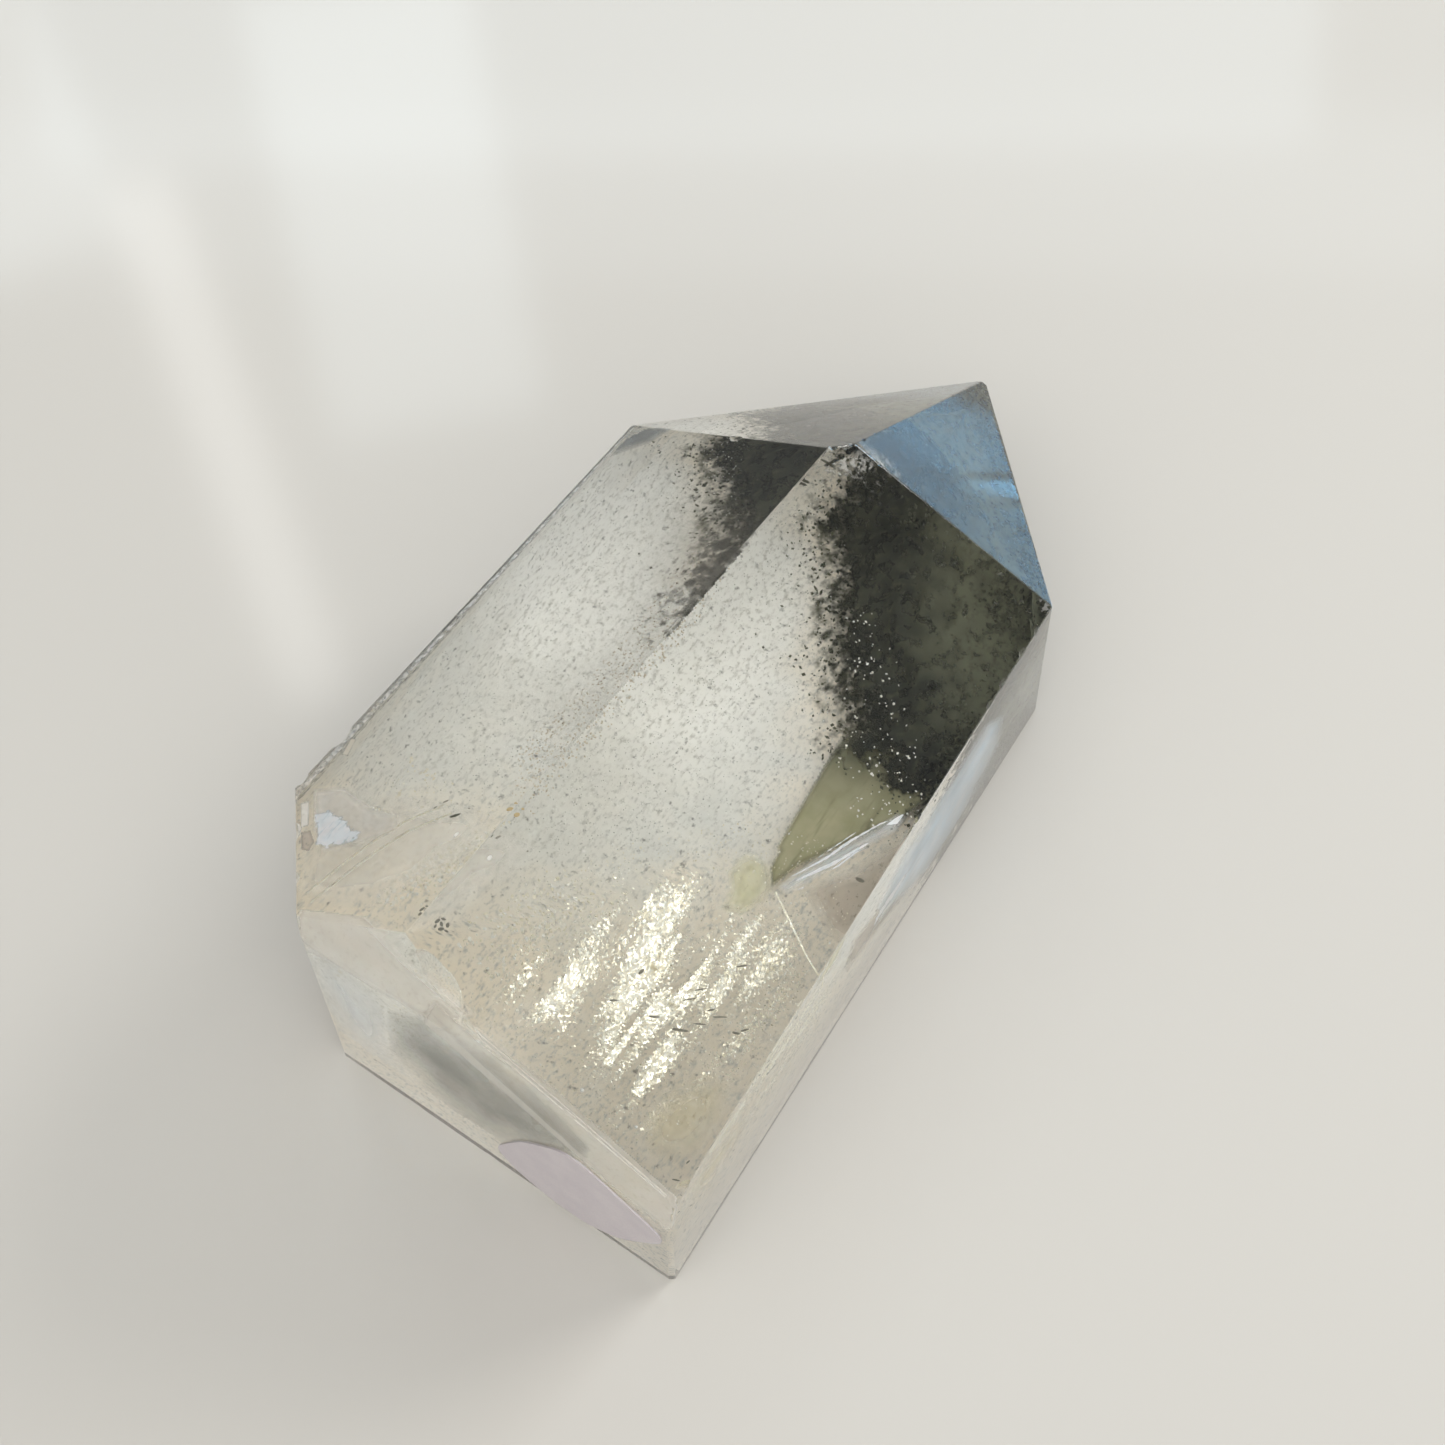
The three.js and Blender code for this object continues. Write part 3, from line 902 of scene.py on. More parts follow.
def sheet_mesh(name, points, keep, columns, rows, thickness, slot, material, **fields):
    """A thin solid sheet on the kept points of a grid. Fields become attributes of its points."""
    number = np.full(len(points), -1)
    number[keep] = np.arange(keep.sum())
    grid = number.reshape(columns, rows)
    quads = np.stack([grid[:-1, :-1], grid[:-1, 1:], grid[1:, 1:], grid[1:, :-1]], axis=-1).reshape(-1, 4)
    quads = quads[(quads >= 0).all(axis=1)]
    made = mesh_object(name, points[keep], [tuple(int(i) for i in q) for q in quads])
    for label, values in fields.items():
        made.data.attributes.new(label, "FLOAT", "POINT").data.foreach_set("value", values[keep].astype(np.float32))
    sheet = bmesh.new()
    sheet.from_mesh(made.data)
    bmesh.ops.delete(sheet, geom=[v for v in sheet.verts if not v.link_faces], context="VERTS")
    bmesh.ops.solidify(sheet, geom=sheet.faces, thickness=thickness)
    bmesh.ops.recalc_face_normals(sheet, faces=sheet.faces)
    for f in sheet.faces:
        f.smooth = True
    sheet.to_mesh(made.data)
    sheet.free()
    made.data.materials.append(material)
    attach(made, "root")
    print(name, len(made.data.polygons) * 2, "triangles")
    return made


SWEEP_AXIS = 17 * MM


def swept(degrees, rows):
    """The inside of the lower facets as a grid, seen from a line along the stone."""
    turn, y = (a.ravel() for a in np.meshgrid(np.radians(degrees), rows, indexing="ij"))
    out = np.stack([np.cos(turn), np.zeros(len(turn)), np.sin(turn)], axis=-1)
    start = np.stack([np.zeros(len(y)), y, np.full(len(y), SWEEP_AXIS)], axis=-1)
    closing = out @ facet_normals.T
    reach = np.where(closing > 1e-6, (facet_offsets - start @ facet_normals.T) / np.where(closing > 1e-6, closing, 1), 1).min(axis=1)
    return start, out, reach


bed_degrees, bed_rows = np.arange(158, 331, 1.0), np.arange(stone_low[1] + 1.5 * MM, 0.036, BED_STEP)
start, out, reach = swept(bed_degrees, bed_rows)
at_facet = start + out * reach[:, None]
up_the_wall = np.clip((at_facet[:, 2] / MM - 8) / 5, 0, 1) * (at_facet[:, 0] < 0)
lift = BED_HEIGHT - 0.52 * MM * up_the_wall + wander(at_facet, 1.3 * MM, 12) * 0.12 * MM
bed = start + out * (reach - lift)[:, None]
MILKY_SPOTS = {
    "upper_right": [(705, 672, 78), (765, 575, 62)],
    "upper_left": [(540, 580, 70), (600, 512, 48)],
}
milk_field = np.zeros(len(bed))
inside_veil = np.full(len(bed), -200.0)
for face, outline in (("upper_right", VEIL_RIGHT), ("upper_left", VEIL_LEFT)):
    pixels, shows = seen_at(bed, face)
    inside_veil = np.where(shows, np.maximum(inside_veil, inward(pixels, outline)), inside_veil)
    for x, y, radius in MILKY_SPOTS[face]:
        milk_field += np.where(shows, np.exp(-((pixels[:, 0] - x) ** 2 + (pixels[:, 1] - y) ** 2) / radius ** 2), 0)
bed_past = past_edge(bed)
milk_field = np.clip(milk_field + 0.3 * wander(bed, 2.5 * MM, 19), 0, 1)
warmth = np.clip(np.maximum(0.4 - inside_veil / 90, 0.5 + bed_past / 8) + 0.35 * wander(bed, 4 * MM, 16), 0, 1)
dusk = np.clip((bed_past + 2.6) / 10 + 0.28 * wander(bed, 2.5 * MM, 17), 0, 1)
below_top = np.where(bed[:, 0] > 0, 12, 36) - bed[:, 2] / MM
wall_cover = 1 - 0.3 * np.clip(bed[:, 2] / MM - 17, 0, 1) * (bed[:, 0] < 0)
cover = np.clip(np.minimum(below_top / 6, (36 * MM - bed[:, 1]) / (8 * MM)) + 0.3 * wander(bed, 3 * MM, 18), 0, wall_cover)
bed_kept = (bed_past < 14) & (depth_inside(bed) > 0.2 * MM) & (cover > 0)
veil = sheet_mesh("milky_veil", bed, bed_kept, len(bed_degrees), len(bed_rows), 0.05 * MM, "mineral_veil", veil_material,
                  warmth=warmth, milk=milk_field, dusk=dusk, cover=cover)
print("warm share of the layer", round(float(warmth[bed_kept].mean()), 2))

# %% [markdown]
# The cloud's top is a skin of the finest dust, too fine for single grains. It lies over the grains
# at the height that the cloud has there, in soft green-black and olive mottles, and thins out into
# flecks towards the cloud's edge.

# %% Cloud skin
cloud_dust = mineral_or_painted_skin(
    "cloud_dust", (0.013, 0.015, 0.008), (0.034, 0.036, 0.020), (0.070, 0.070, 0.040), 1.1 * MM, 1.3, 0.47, 0.4,
    roughness=0.75, patch_size=5 * MM, tints=[("olive", (0.150, 0.156, 0.098))], cover=("dusk", 1.2 * MM, 0.44),
)
skin_degrees, skin_rows = np.arange(198, 331, 1.0), np.arange(-0.009, stone_high[1] - 1.2 * MM, BED_STEP)
start, out, reach = swept(skin_degrees, skin_rows)
level = cloud_thickness(start + out * reach[:, None], past_edge(start + out * (reach - 2.5 * MM)[:, None])) * MM
skin = start + out * np.maximum(reach - level, 0.25 * MM)[:, None]
skin_past = past_edge(skin)
dusk = np.clip((skin_past + 1.2) / 10 + 0.26 * wander(skin, 2 * MM, 27), 0, 1)
olive = np.clip((skin_past - 12) / 9 + 0.35 * wander(skin, 2.2 * MM, 28), 0, 1)
skin_kept = (skin_past > -3) & (depth_inside(skin) > 0.35 * MM)
sheet_mesh("cloud_skin", skin, skin_kept, len(skin_degrees), len(skin_rows), 0.04 * MM, "chlorite", cloud_dust, dusk=dusk, olive=olive)

# %% [markdown]
# A haze of single grains floats above the layer, white ones for the milky look and a few grey
# ones, so that it has depth when the view moves.

# %% Veil grains
milk = np.concatenate([
    places_in(VEIL_RIGHT, "upper_right", 3000, 0.6, 0.96),
    places_in(VEIL_LEFT, "upper_left", 4000, 0.6, 0.96),
])
made_real("milk_grains", speck_maker, milk, rng.uniform(0.10, 0.22, len(milk)) * MM, rng.uniform(0.9, 1.15, len(milk)), "mineral_veil", mineral_veil, Flatness=0.5, Seed=5)

specks = np.concatenate([
    places_in(VEIL_RIGHT, "upper_right", 4000, 0.8, 0.96),
    places_in(VEIL_LEFT, "upper_left", 4500, 0.8, 0.96),
])
specks = specks[wander(specks, 1.6 * MM, 8) + 0.6 * wander(specks, 0.7 * MM, 9) + rng.normal(0, 0.2, len(specks)) > 0.1]
made_real("veil_specks", speck_maker, specks, rng.uniform(0.12, 0.26, len(specks)) * MM, rng.uniform(0.1, 0.5, len(specks)), "mineral_veil", mineral_veil, Flatness=0.5, Seed=15)

# %% [markdown]
# ## Crack skins
# Old cracks healed with thin bright skins. Each is a sheet that fills an outline in the
# photograph at some depth. Its height follows a noise field, and a finer noise tears it more and
# more towards its edges, so that it ends in loose bright squiggles.

# %% Inner sheets


def inner_sheet(name, face, outline, share, slot, material, step=1.8, relief=0.05 * MM, fold=0.6 * MM, stretch=1.0,
                fade=40.0, most=1.0, patchy=0.0, mask=None, seed=20, thickness=0.03 * MM, **fields):
    """A thin bumpy sheet in an outline of the photograph, a share of the way through the stone. Its
    cover attribute rises from the edge inwards, up to most; patchy thins it in streaks along the
    stone, mask by a function of the pixels. Each further field is a function of the pixels too."""
    corners = np.array(outline, float)
    low, high = corners.min(0), corners.max(0)
    columns, rows = (int((high[i] - low[i]) / step) + 1 for i in (0, 1))
    across, down = np.meshgrid(low[0] + np.arange(columns) * step, low[1] + np.arange(rows) * step, indexing="ij")
    pixels = np.stack([across.ravel(), down.ravel()], axis=-1)
    entry, inside, way = look_in(pixels, face)
    deep = share(pixels) if callable(share) else share
    flat = entry + inside * (way * deep)[:, None]
    wide = flat * np.array([1, 1 / stretch, 1])
    bumps = wander(wide, fold, seed) * relief + wander(wide, fold * 0.45, seed + 1) * relief * 0.4
    points = flat + inside * bumps[:, None]
    edge = inward(pixels, outline)
    cover = most * np.clip(edge / fade, 0, 1)
    if patchy:
        cover *= np.clip(1 - patchy * (0.27 - wander(flat * np.array([1, 0.22, 1]), 1.8 * MM, seed + 4)), 0, 1)
    if mask:
        cover *= mask(pixels)
    if most < 1:
        cover *= 0.85 + 0.25 * wander(wide, 4 * MM, seed + 2)
    keep = (edge > 0) & (depth_inside(points) > 0.2 * MM)
    return sheet_mesh(name, points, keep, columns, rows, thickness, slot, material, cover=cover, **{k: f(pixels) for k, f in fields.items()})


# %% The glittering patch
warm_crack = mineral_or_painted_skin(
    "warm_crack", (0.97, 0.93, 0.78), (0.90, 0.84, 0.66), (1.0, 0.985, 0.88), 0.30 * MM, 1.7, 0.48, 0.12,
    roughness=0.28, metallic=0.6, patch_size=2.2 * MM, bump=0.04 * MM, cover=("cover", 0.34 * MM, 0.14),
)
GLITTER = [(462, 985), (510, 905), (590, 852), (690, 835), (775, 870), (820, 895), (840, 960), (815, 1020), (775, 1092), (735, 1125), (690, 1170), (640, 1190), (580, 1140), (550, 1075), (500, 1045)]
GLITTER_MIDDLE = (650, 985)
window_way = unit(np.array([0.28, 0.68, 0.52]))
entry, inside, way = look_in([GLITTER_MIDDLE], "upper_right")
window_inside = -bend(-window_way[None, :], facets["upper_right"][0])[0]
crack_normal = unit(0.75 * window_inside - inside[0])
crack_middle = entry[0] + inside[0] * way[0] * 0.6
print("the crack faces", crack_normal.round(2))


def plane_share(pixels):
    """How far through the stone the crack's plane lies at each pixel; past 1 it lies outside."""
    entry, inside, way = look_in(pixels, "upper_right")
    return (crack_middle - entry) @ crack_normal / (inside @ crack_normal) / way


def crack_share(pixels):
    return np.clip(plane_share(pixels), 0.2, 0.92)


def well_inside(pixels):
    """1 where the crack's plane lies well inside the stone, falling to 0 where it would leave it."""
    deep = plane_share(pixels)
    return np.clip((0.90 - deep) / 0.14, 0, 1) * np.clip((deep - 0.2) / 0.1, 0, 1)


inner_sheet(
    "glitter_crack", "upper_right", GLITTER, crack_share, "inner_fracture", warm_crack,
    step=1.7, relief=0.105 * MM, fold=0.42 * MM, stretch=1.7, fade=95, patchy=1.15,
    mask=lambda px: (1 - 0.3 * np.clip((px[:, 1] - 1000) / 120, 0, 1)) * well_inside(px),
)

# %% Streaks and sparks in the patch
STREAKS = [
    [(668, 1000), (712, 951), (719, 956), (677, 1008)], [(688, 1004), (705, 983), (711, 987), (695, 1009)],
    [(600, 1062), (640, 1012), (648, 1018), (611, 1070)], [(628, 1092), (668, 1042), (676, 1049), (640, 1100)],
    [(655, 960), (684, 925), (690, 930), (662, 968)],
]
for number, outline in enumerate(STREAKS):
    inner_sheet(f"bright_streak_{number + 1}", "upper_right", outline, lambda px: crack_share(px) - 0.03, "inner_fracture", warm_crack, step=1.0, fade=4, seed=50 + number)

fracture_field = [(470, 1000), (520, 900), (640, 840), (760, 820), (850, 850), (850, 960), (780, 1060), (690, 1130), (620, 1170), (560, 1090)]
sparks = places_in(fracture_field, "upper_right", 5200, 0.5, 0.95)
made_real("crack_sparks", flake_maker, sparks, rng.uniform(0.08, 0.24, len(sparks)) * MM, rng.uniform(0.3, 1, len(sparks)), "inner_fracture", fracture_spark, Flatness=0.12, Tilt=0.7, Seed=6)

WHITE_FLECKS = [(838, 620), (870, 610), (900, 660), (930, 790), (915, 830), (850, 830), (835, 760), (845, 690)]
white_flecks = places_in(WHITE_FLECKS, "upper_right", 230, 0.03, 0.3)
made_real("white_flecks", flake_maker, white_flecks, rng.uniform(0.12, 0.34, len(white_flecks)) * MM, rng.uniform(0.7, 1, len(white_flecks)), "inner_fracture", fracture_spark, Flatness=0.25, Tilt=1.2, Seed=7)

# %% [markdown]
# ## The olive wedge and its neighbours
# Below the cloud a flat olive face inside the stone ends in a sharp edge. A shell-white sliver
# crosses its foot, and beside them lie a pale yellow patch and a brownish zone. Each is a smooth
# sheet at its own depth.

# %% Wedge, sliver, yellow and brown patches
def band(points, width, tapered=False):
    """An outline that follows a line of pixels at a width, which may run out at both ends."""
    line = np.array(points, float)
    along = np.gradient(line, axis=0)
    if tapered:
        width = width * np.sin(np.linspace(0.15, math.pi - 0.15, len(line)))[:, None]
    aside = unit(np.stack([-along[:, 1], along[:, 0]], axis=-1)) * width / 2
    return [tuple(p) for p in np.concatenate([line + aside, (line - aside)[::-1]])]


olive_face = mineral_or_painted_skin("olive_face", (0.38, 0.365, 0.208), (0.49, 0.46, 0.29), (0.22, 0.215, 0.12), 0.9 * MM, 6.0, 0.50, 0.3, roughness=0.45, patch_size=3 * MM, tints=[("deep", (0.085, 0.088, 0.050))], cover="smooth")
yellow_patch = mineral_or_painted_skin("yellow_patch", (0.80, 0.77, 0.50), (0.86, 0.82, 0.60), (0.66, 0.62, 0.40), 0.4 * MM, 1.5, 0.55, 0.2, roughness=0.4, patch_size=2 * MM, cover="smooth")
brown_zone = mineral_or_painted_skin("brown_zone", (0.66, 0.57, 0.46), (0.72, 0.63, 0.52), (0.34, 0.30, 0.23), 0.35 * MM, 1.6, 0.56, 0.2, roughness=0.5, patch_size=3 * MM, cover="smooth")
shell_white = mineral_or_painted_skin("shell_white", (0.93, 0.97, 0.98), (0.98, 0.96, 0.95), (0.74, 0.80, 0.82), 0.30 * MM, 5.0, 0.56, 0.14, roughness=0.25, patch_size=1.6 * MM, bump=0.015 * MM, cover=("cover", 0.8 * MM, 0.2))

WEDGE = [(846, 728), (768, 868), (774, 886), (800, 866), (905, 818), (940, 792), (930, 740), (880, 700)]
SLIVER = [(776, 886), (800, 868), (840, 845), (880, 822), (899, 811), (908, 818), (896, 833), (850, 858), (810, 884), (786, 896)]
SLIVER_STRANDS = [
    ([(776, 884), (800, 872), (826, 858), (852, 840), (880, 824), (901, 816)], 4.5),
    ([(781, 888), (806, 876), (832, 864), (858, 849), (884, 834)], 5.5),
    ([(790, 877), (812, 862), (834, 847), (858, 831), (880, 820)], 3.0),
    ([(822, 874), (838, 866), (856, 852), (872, 846)], 4.0),
    ([(788, 894), (802, 888), (822, 876)], 2.6), ([(884, 826), (896, 821), (905, 813)], 8.0),
]
YELLOW = [(726, 872), (738, 858), (754, 850), (769, 862), (777, 886), (766, 902), (745, 914), (722, 908), (728, 888)]
BROWN = [(800, 886), (850, 866), (905, 830), (918, 824), (905, 872), (880, 915), (850, 956), (826, 935), (811, 908)]
inner_sheet("olive_wedge", "upper_right", WEDGE, 0.92, "chlorite", olive_face, relief=0.03 * MM, fold=2 * MM, fade=7, mask=lambda px: np.clip((px[:, 1] - 715) / 50, 0, 1), seed=60, deep=lambda px: np.clip((820 - px[:, 1]) / 90, 0, 1))
feather = mineral_or_painted_skin("feather", (0.86, 0.95, 0.97), (0.95, 0.94, 0.93), (0.62, 0.70, 0.72), 0.5 * MM, 6.0, 0.48, 0.3, roughness=0.3, patch_size=1.6 * MM, cover="smooth")
inner_sheet("white_sliver", "upper_right", SLIVER, 0.10, "inner_fracture", feather, step=1.1, relief=0.02 * MM, fold=2.5 * MM, fade=9, most=0.42, seed=64)
for number, (line, width) in enumerate(SLIVER_STRANDS):
    inner_sheet(f"sliver_strand_{number + 1}", "upper_right", band(line, width, True), 0.07 + 0.005 * number, "inner_fracture", shell_white, step=0.8, relief=0.03 * MM, fade=1.5, seed=170 + number)
inner_sheet("yellow_patch", "upper_right", YELLOW, 0.66, "iron_stain", yellow_patch, step=1.2, relief=0.03 * MM, fade=19, most=0.98, seed=68)
inner_sheet("brown_zone", "upper_right", BROWN, 0.60, "iron_stain", brown_zone, relief=0.05 * MM, fold=1 * MM, fade=22, most=0.8, seed=72)

# %% Warm haze by the ridge
RIDGE_STRIP = [(508, 800), (520, 745), (580, 690), (650, 600), (700, 545), (716, 560), (650, 660), (560, 775), (530, 800)]
haze = places_in(RIDGE_STRIP, "upper_left", 3600, 0.015, 0.12)
made_real("ridge_haze", speck_maker, haze, rng.uniform(0.2, 0.42, len(haze)) * MM, rng.uniform(0.35, 0.9, len(haze)), "iron_stain", pale_stain, Flatness=0.5, Seed=21)

# %% Soft painted shades, a painted glow and a fine crack under the facets
RIDGE_TOP, RIDGE_FOOT = np.array((830.0, 450.0)), np.array((540.0, 790.0))


def by_the_ridge(pixels):
    """How far along the ridge each pixel is, from 0 to 1, and how many pixels it lies to its left."""
    run = RIDGE_FOOT - RIDGE_TOP
    across = np.array((-run[1], run[0])) / np.linalg.norm(run)
    return (pixels - RIDGE_TOP) @ run / (run @ run), (pixels - RIDGE_TOP) @ across


# Left of the ridge the stone looks darker than right of it. This is painted shade: a dark film just under the left
# facet, darkest by the ridge's upper part and fading to the left and downwards.
def ridge_shade_strength(pixels):
    along, left = by_the_ridge(pixels)
    return np.interp(along, [0.2, 0.36, 0.45, 0.6, 0.8, 0.97], [0, 0.28, 0.20, 0.13, 0.11, 0]) * np.clip(1.25 - left / 90, 0, 1)


# Dark flecks of the cloud's dust along the ridge, densest near its upper part. They are partly the cloud's real fringe
# and partly painted shade left of the ridge.
def ridge_flecks(pixels):
    along, left = by_the_ridge(pixels)
    return np.interp(along, [0.18, 0.32, 0.42, 0.55, 0.7, 0.8], [0, 0.85, 0.78, 0.5, 0.2, 0]) * np.clip(1.15 - left / 75, 0, 1)


# The dark colour of the painted shade left of the ridge.
painted_ridge_shade = mineral_or_painted_skin("painted_ridge_shade", (0.24, 0.21, 0.165), (0.30, 0.27, 0.215), (0.14, 0.13, 0.10), 0.45 * MM, 1.8, 0.5, 0.3, roughness=0.6, patch_size=4 * MM, cover="smooth")
RIDGE_SHADE = [(784, 500), (552, 772), (470, 702), (702, 430)]
inner_sheet("ridge_shade", "upper_left", RIDGE_SHADE, 0.012, "iron_stain", painted_ridge_shade, relief=0.01 * MM, fade=3, mask=ridge_shade_strength, seed=140)
inner_sheet("ridge_flecks", "upper_left", RIDGE_SHADE, 0.016, "chlorite", cloud_dust, relief=0.01 * MM, fade=3, seed=142, dusk=ridge_flecks)
# Painted shade: a dark grey-blue film just under the upper left facet darkens its corner by the point.
blue_shade = mineral_or_painted_skin("blue_shade", (0.15, 0.17, 0.18), (0.24, 0.27, 0.28), (0.10, 0.115, 0.12), 0.6 * MM, 3.0, 0.5, 0.3, roughness=0.5, patch_size=3 * MM, cover="smooth")
TOP_CORNER = [(592, 464), (630, 420), (676, 428), (650, 444), (622, 454)]
inner_sheet("top_corner", "upper_left", TOP_CORNER, 0.03, "mineral_veil", blue_shade, step=1.2, relief=0.01 * MM, fade=7, most=0.75, seed=144)
# Painted shade: a near-black film just under the point's right facet darkens its left corner.
painted_tip_shade = mineral_or_painted_skin("painted_tip_shade", (0.012, 0.014, 0.011), (0.020, 0.022, 0.018), (0.032, 0.034, 0.028), 0.9 * MM, 2.0, 0.5, 0.3, roughness=0.8, patch_size=3 * MM, cover="smooth")
TIP_CORNER = [(838, 445), (872, 426), (905, 432), (925, 455), (915, 488), (880, 462)]
inner_sheet("tip_corner_shade", "tip_upper_right", TIP_CORNER, 0.05, "chlorite", painted_tip_shade, step=1.2, relief=0.01 * MM, fade=14, most=0.95, seed=147)
SIDE_CRACK = [(871, 936), (877, 918), (890, 898), (902, 880), (914, 862)]
inner_sheet("side_crack", "right", band(SIDE_CRACK, 5.0, True), 0.03, "inner_fracture", shell_white, step=0.8, relief=0.02 * MM, fade=1.5, seed=178)
# Painted light: a pale blue film just under the right side makes a strip of it glow bluish.
pale_glow = mineral_or_painted_skin("pale_glow", (0.72, 0.89, 1.0), (0.88, 0.95, 1.0), (0.66, 0.74, 0.80), 0.8 * MM, 6.0, 0.5, 0.3, roughness=0.4, patch_size=3 * MM, cover="smooth")
GLOW = [(1006, 712), (1000, 745), (968, 812), (930, 872), (896, 905), (878, 925), (876, 905), (905, 848), (950, 780), (985, 722)]
inner_sheet("pale_glow", "right", GLOW, 0.04, "inner_fracture", pale_glow, step=1.2, relief=0.02 * MM, fade=12, most=0.9, seed=148)

# %% [markdown]
# ## The dark band behind the base
# Behind the sawn base a soft grey-green band runs along the upper edge. It is painted shade: a thin
# dark film just under the base.

# %% Base film
painted_base_shade = mineral_or_painted_skin("painted_base_shade", (0.10, 0.11, 0.085), (0.16, 0.17, 0.14), (0.06, 0.065, 0.05), 0.7 * MM, 1.0, 0.5, 0.3, roughness=0.6, patch_size=4 * MM, cover="smooth")
BASE_BAND = [(385, 1008), (425, 1012), (485, 1056), (540, 1100), (592, 1148), (585, 1162), (535, 1158), (475, 1136), (425, 1095), (388, 1050)]
inner_sheet("base_film", "base", BASE_BAND, 0.02, "chlorite", painted_base_shade, relief=0.03 * MM, fold=1.2 * MM, fade=30, most=0.60, seed=130)
# Painted light: a pale bluish film just under the base lightens its left end.
painted_base_light = mineral_or_painted_skin("painted_base_light", (0.88, 0.94, 1.0), (0.92, 0.96, 1.0), (0.66, 0.70, 0.74), 0.7 * MM, 1.0, 0.5, 0.3, roughness=0.6, patch_size=4 * MM, cover="smooth")
BASE_PALE = [(300, 935), (345, 965), (390, 1005), (395, 1040), (420, 1085), (380, 1070), (345, 1050), (318, 990)]
inner_sheet("base_pale", "base", BASE_PALE, 0.02, "mineral_veil", painted_base_light, relief=0.03 * MM, fold=1.2 * MM, fade=26, most=0.35, seed=134)

# %% [markdown]
# ## The corner by the base
# At the left corner of the base, cracks just under the surface shine white and bluish, and a thin
# bright double line runs from them up to the ridge.

# %% Corner patches and lines
# Cream colour for the corner cracks, and also for the painted light on the base's small facets and the painted glint by
# the chip.
cream_dust_and_painted_light = mineral_or_painted_skin("cream_dust_and_painted_light", (0.98, 0.94, 0.86), (0.94, 0.88, 0.78), (0.82, 0.76, 0.66), 0.5 * MM, 1.5, 0.5, 0.3, roughness=0.5, patch_size=3 * MM, cover="smooth")
SHELL_CORNER = [(311, 812), (330, 806), (348, 815), (353, 824), (368, 830), (360, 842), (345, 849), (325, 852), (312, 847)]
CREAM_CORNER = [(342, 803), (378, 796), (412, 812), (400, 828), (374, 838), (355, 822)]
WHITE_CORNER = [(300, 803), (310, 800), (309, 826), (300, 829)]
PALE_CORNER = [(312, 788), (345, 786), (372, 806), (402, 812), (398, 832), (360, 846), (322, 854), (312, 830)]
BROWN_CORNER = [(300, 832), (311, 829), (315, 842), (309, 852), (301, 850)]
inner_sheet("shell_corner", "upper_left", SHELL_CORNER, 0.03, "inner_fracture", shell_white, step=1.2, fade=9, seed=80)
inner_sheet("cream_corner", "upper_left", CREAM_CORNER, 0.10, "inner_fracture", warm_crack, step=1.2, fade=22, seed=84)
inner_sheet("white_corner", "upper_left", WHITE_CORNER, 0.08, "inner_fracture", cream_dust_and_painted_light, step=1.0, fade=2, seed=88)
inner_sheet("pale_corner", "upper_left", PALE_CORNER, 0.06, "inner_fracture", cream_dust_and_painted_light, step=1.2, fade=9, most=0.75, seed=90)
inner_sheet("brown_corner", "upper_left", BROWN_CORNER, 0.08, "iron_stain", brown_zone, step=1.0, fade=3, seed=92)


DOUBLE_LINE = [(448, 803), (428, 811), (405, 821), (372, 842), (340, 866), (306, 894)]
for number, shift in enumerate((0, 9)):
    line = [(x + shift * 0.45, y + shift) for x, y in DOUBLE_LINE]
    inner_sheet(f"fine_line_{number + 1}", "upper_left", band(line, 3.0), 0.08, "inner_fracture", warm_crack, step=0.8, fade=1, seed=96 + number)
inner_sheet("wedge_line", "upper_right", band([(776, 890), (790, 922), (806, 955), (820, 978)], 3.4), 0.25, "inner_fracture", warm_crack, step=0.8, fade=1, seed=100)

# Painted highlight: a small pale film under the chipped left edge stands in for the chip's white glint.
FLASH = [(341, 755), (351, 738), (357, 739), (348, 756)]
inner_sheet("white_flash", "upper_left", FLASH, 0.25, "inner_fracture", cream_dust_and_painted_light, step=0.8, relief=0.01 * MM, fade=1, seed=120)
# Painted light: pale films just under the two small facets of the base lighten them.
SLOPE_FILM = [(290, 885), (365, 915), (475, 1020), (440, 1032), (330, 978), (290, 950)]
STRIP_FILM = [(430, 1000), (560, 1098), (705, 1215), (680, 1245), (545, 1140), (415, 1030)]
inner_sheet("slope_film", "base_slope", SLOPE_FILM, 0.03, "inner_fracture", cream_dust_and_painted_light, relief=0.02 * MM, fade=14, most=0.5, seed=150)
inner_sheet("strip_film", "base_strip", STRIP_FILM, 0.03, "inner_fracture", cream_dust_and_painted_light, relief=0.02 * MM, fade=8, most=0.5, seed=154)
inner_sheet("strip_line", "upper_right", band([(452, 1010), (560, 1102), (668, 1196)], 3.0), 0.02, "inner_fracture", cream_dust_and_painted_light, step=0.8, relief=0.01 * MM, fade=1, most=0.7, seed=158)
CORNER_VEIL = [(300, 800), (330, 785), (400, 790), (470, 800), (505, 812), (470, 850), (420, 880), (380, 905), (330, 905), (300, 890)]
inner_sheet("corner_veil", "upper_left", CORNER_VEIL, 0.30, "inner_fracture", cream_dust_and_painted_light, relief=0.05 * MM, fade=30, most=0.45, seed=124)
GRANULAR = [(500, 808), (520, 822), (480, 850), (430, 872), (385, 897), (376, 886), (420, 850)]
granules = np.concatenate([places_in(GRANULAR, face, 1700, 0.5, 0.9) for face in ("upper_left", "upper_right")])
made_real("granular_band", flake_maker, granules, rng.uniform(0.15, 0.5, len(granules)) * MM, rng.uniform(0.4, 1, len(granules)), "inner_fracture", fracture_spark, Flatness=0.2, Tilt=0.9, Seed=9)

# %% [markdown]
# ## Single marks
# Some dark splinters, a rusty spot and a few bright points lie alone. Each is a small lens of its
# own, turned and stretched as the photograph shows it.

# %% Lens-shaped marks
LENS_SIDES, LENS_RINGS = 8, 5


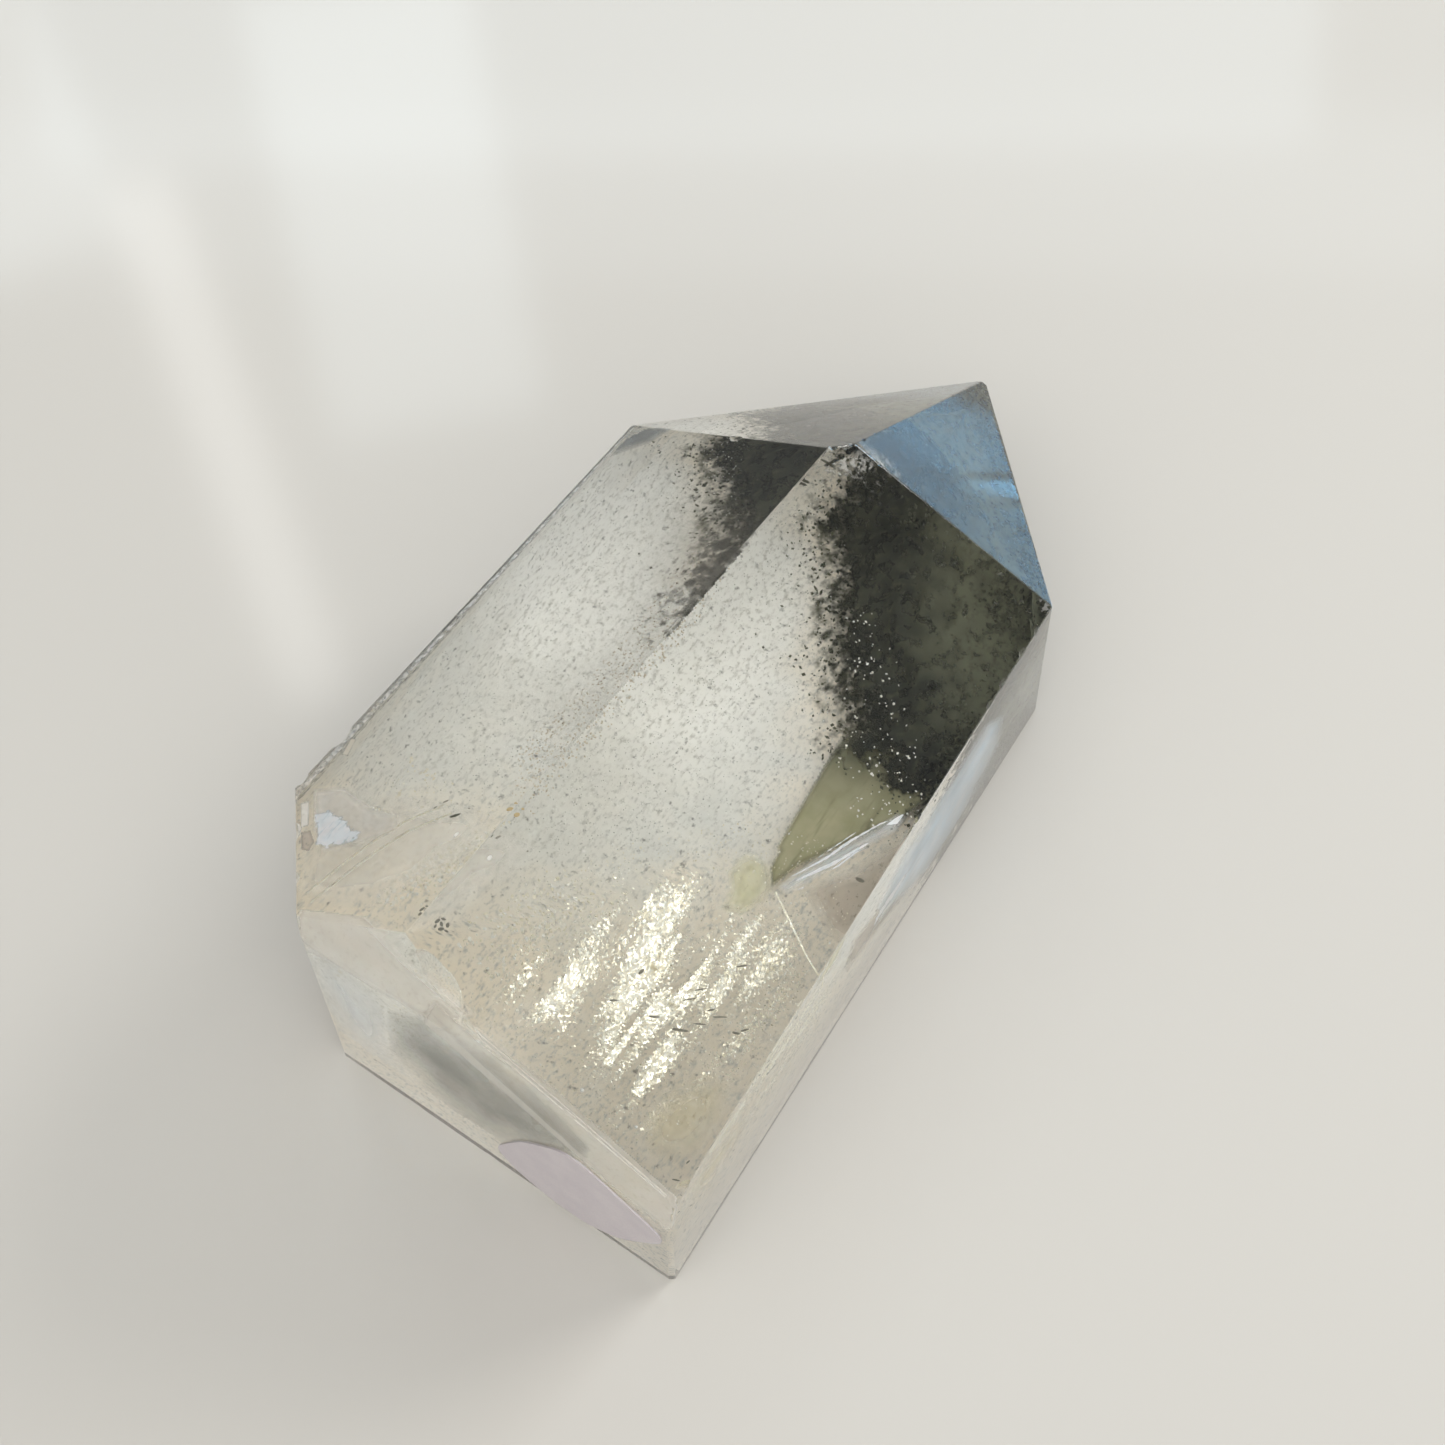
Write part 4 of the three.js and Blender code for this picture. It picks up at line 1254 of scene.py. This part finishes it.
def lenses(name, face, marks, material, tone, share=0.5):
    """Marks given as x, y, length and width in pixels and a turn in degrees, made as small lenses."""
    made = bmesh.new()
    for x, y, length, width, turn in marks:
        entry, inside, way = look_in([(x, y)], face)
        middle = entry[0] + inside[0] * way[0] * share
        turn = math.radians(turn)
        long_way = unit(eye_turn[:, 0] * math.cos(turn) + eye_turn[:, 1] * math.sin(turn))
        deep_way = unit(inside[0])
        wide_way = unit(np.cross(deep_way, long_way))
        ball = bmesh.ops.create_uvsphere(made, u_segments=LENS_SIDES, v_segments=LENS_RINGS, radius=0.5)
        for v in ball["verts"]:
            c = v.co.copy()
            rough = 1 + 0.25 * noise.noise(c * 2.3 + Vector((x, y, 0)))
            spot = middle + (c.x * length * long_way + c.y * width * wide_way + c.z * width * 0.5 * deep_way) * rough / PIXELS_PER_MM * MM
            v.co = Vector(spot)
    mesh = bpy.data.meshes.new(name)
    made.to_mesh(mesh)
    made.free()
    mesh.attributes.new("tone", "FLOAT", "POINT").data.foreach_set("value", np.full(len(mesh.vertices), tone, np.float32))
    piece = bpy.data.objects.new(name, mesh)
    bpy.context.scene.collection.objects.link(piece)
    mesh.materials.append(material)
    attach(piece, "root")
    print(name, len(marks), "marks")
    return piece


DARK_MARKS = [
    (617, 997, 10, 4, 0), (645, 968, 9, 6, 40), (711, 1010, 11, 4, 12), (690, 999, 18, 3, 10), (701, 989, 16, 3, 8),
    (680, 1030, 22, 6, -8), (655, 1016, 14, 4, -5), (745, 1030, 12, 4, 15), (736, 1033, 10, 5, -10), (742, 966, 14, 4, 8),
    (720, 1017, 20, 3, 0), (700, 1024, 16, 3, -4), (507, 837, 8, 4, 25), (860, 880, 12, 8, -20), (645, 1170, 9, 3, -15),
    (676, 1180, 10, 3, -12), (688, 1162, 6, 3, 40), (795, 1048, 5, 2, 60), (536, 851, 3, 3, 0), (472, 830, 3, 2, 30),
]
lenses("dark_marks", "upper_right", [(x, y, l * 0.8, w * 0.5, turn) for x, y, l, w, turn in DARK_MARKS], grey_dust, 0.7)
CLUSTER = [
    (440, 921, 6, 3, 35), (446, 919, 5, 2, -20), (450, 925, 5, 3, 70), (443, 929, 6, 3, 10), (438, 926, 4, 2, 60),
    (448, 931, 4, 2, -30), (444, 924, 5, 3, 100),
]
lenses("dark_cluster", "upper_right", CLUSTER, grey_dust, 0.45, share=0.12)
lenses("dark_marks_left", "upper_left", [(455, 812, 11, 3, 15), (436, 805, 4, 2, 40), (303, 785, 3, 5, 60)], chlorite, 0.2, share=0.25)
lenses("rusty_marks", "upper_left", [(509, 808, 6, 4, 20), (515, 802, 3, 2, 0)], iron_stain, 0.8, share=0.06)
lenses("bright_marks", "upper_right", [(495, 858, 6, 4, 50), (588, 851, 4, 3, 0), (582, 1090, 4, 4, 0), (636, 1127, 3, 3, 0)], fracture_spark, 1.0, share=0.3)

# %% Tan stain
TAN_PATCH = [(640, 1120), (662, 1085), (700, 1068), (738, 1082), (726, 1120), (700, 1158), (665, 1165), (640, 1150)]
tan_skin = mineral_or_painted_skin("tan_skin", (0.84, 0.75, 0.52), (0.88, 0.81, 0.62), (0.55, 0.47, 0.30), 0.4 * MM, 1.6, 0.53, 0.25, roughness=0.45, patch_size=3 * MM, cover="smooth")
inner_sheet("tan_patch", "upper_right", TAN_PATCH, 0.6, "iron_stain", tan_skin, relief=0.04 * MM, fade=30, most=0.45, seed=110)

# %% Label
label_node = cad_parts["paper_label"]
label_material = mineral_or_painted_skin("label_paper", (0.50, 0.45, 0.455), (0.54, 0.49, 0.485), (0.44, 0.40, 0.41), 0.12 * MM, 3.0, 0.52, 0.2, roughness=0.62, patch_size=3 * MM, bump=0.01 * MM)
for slot in label_node.material_slots:
    slot.material = label_material
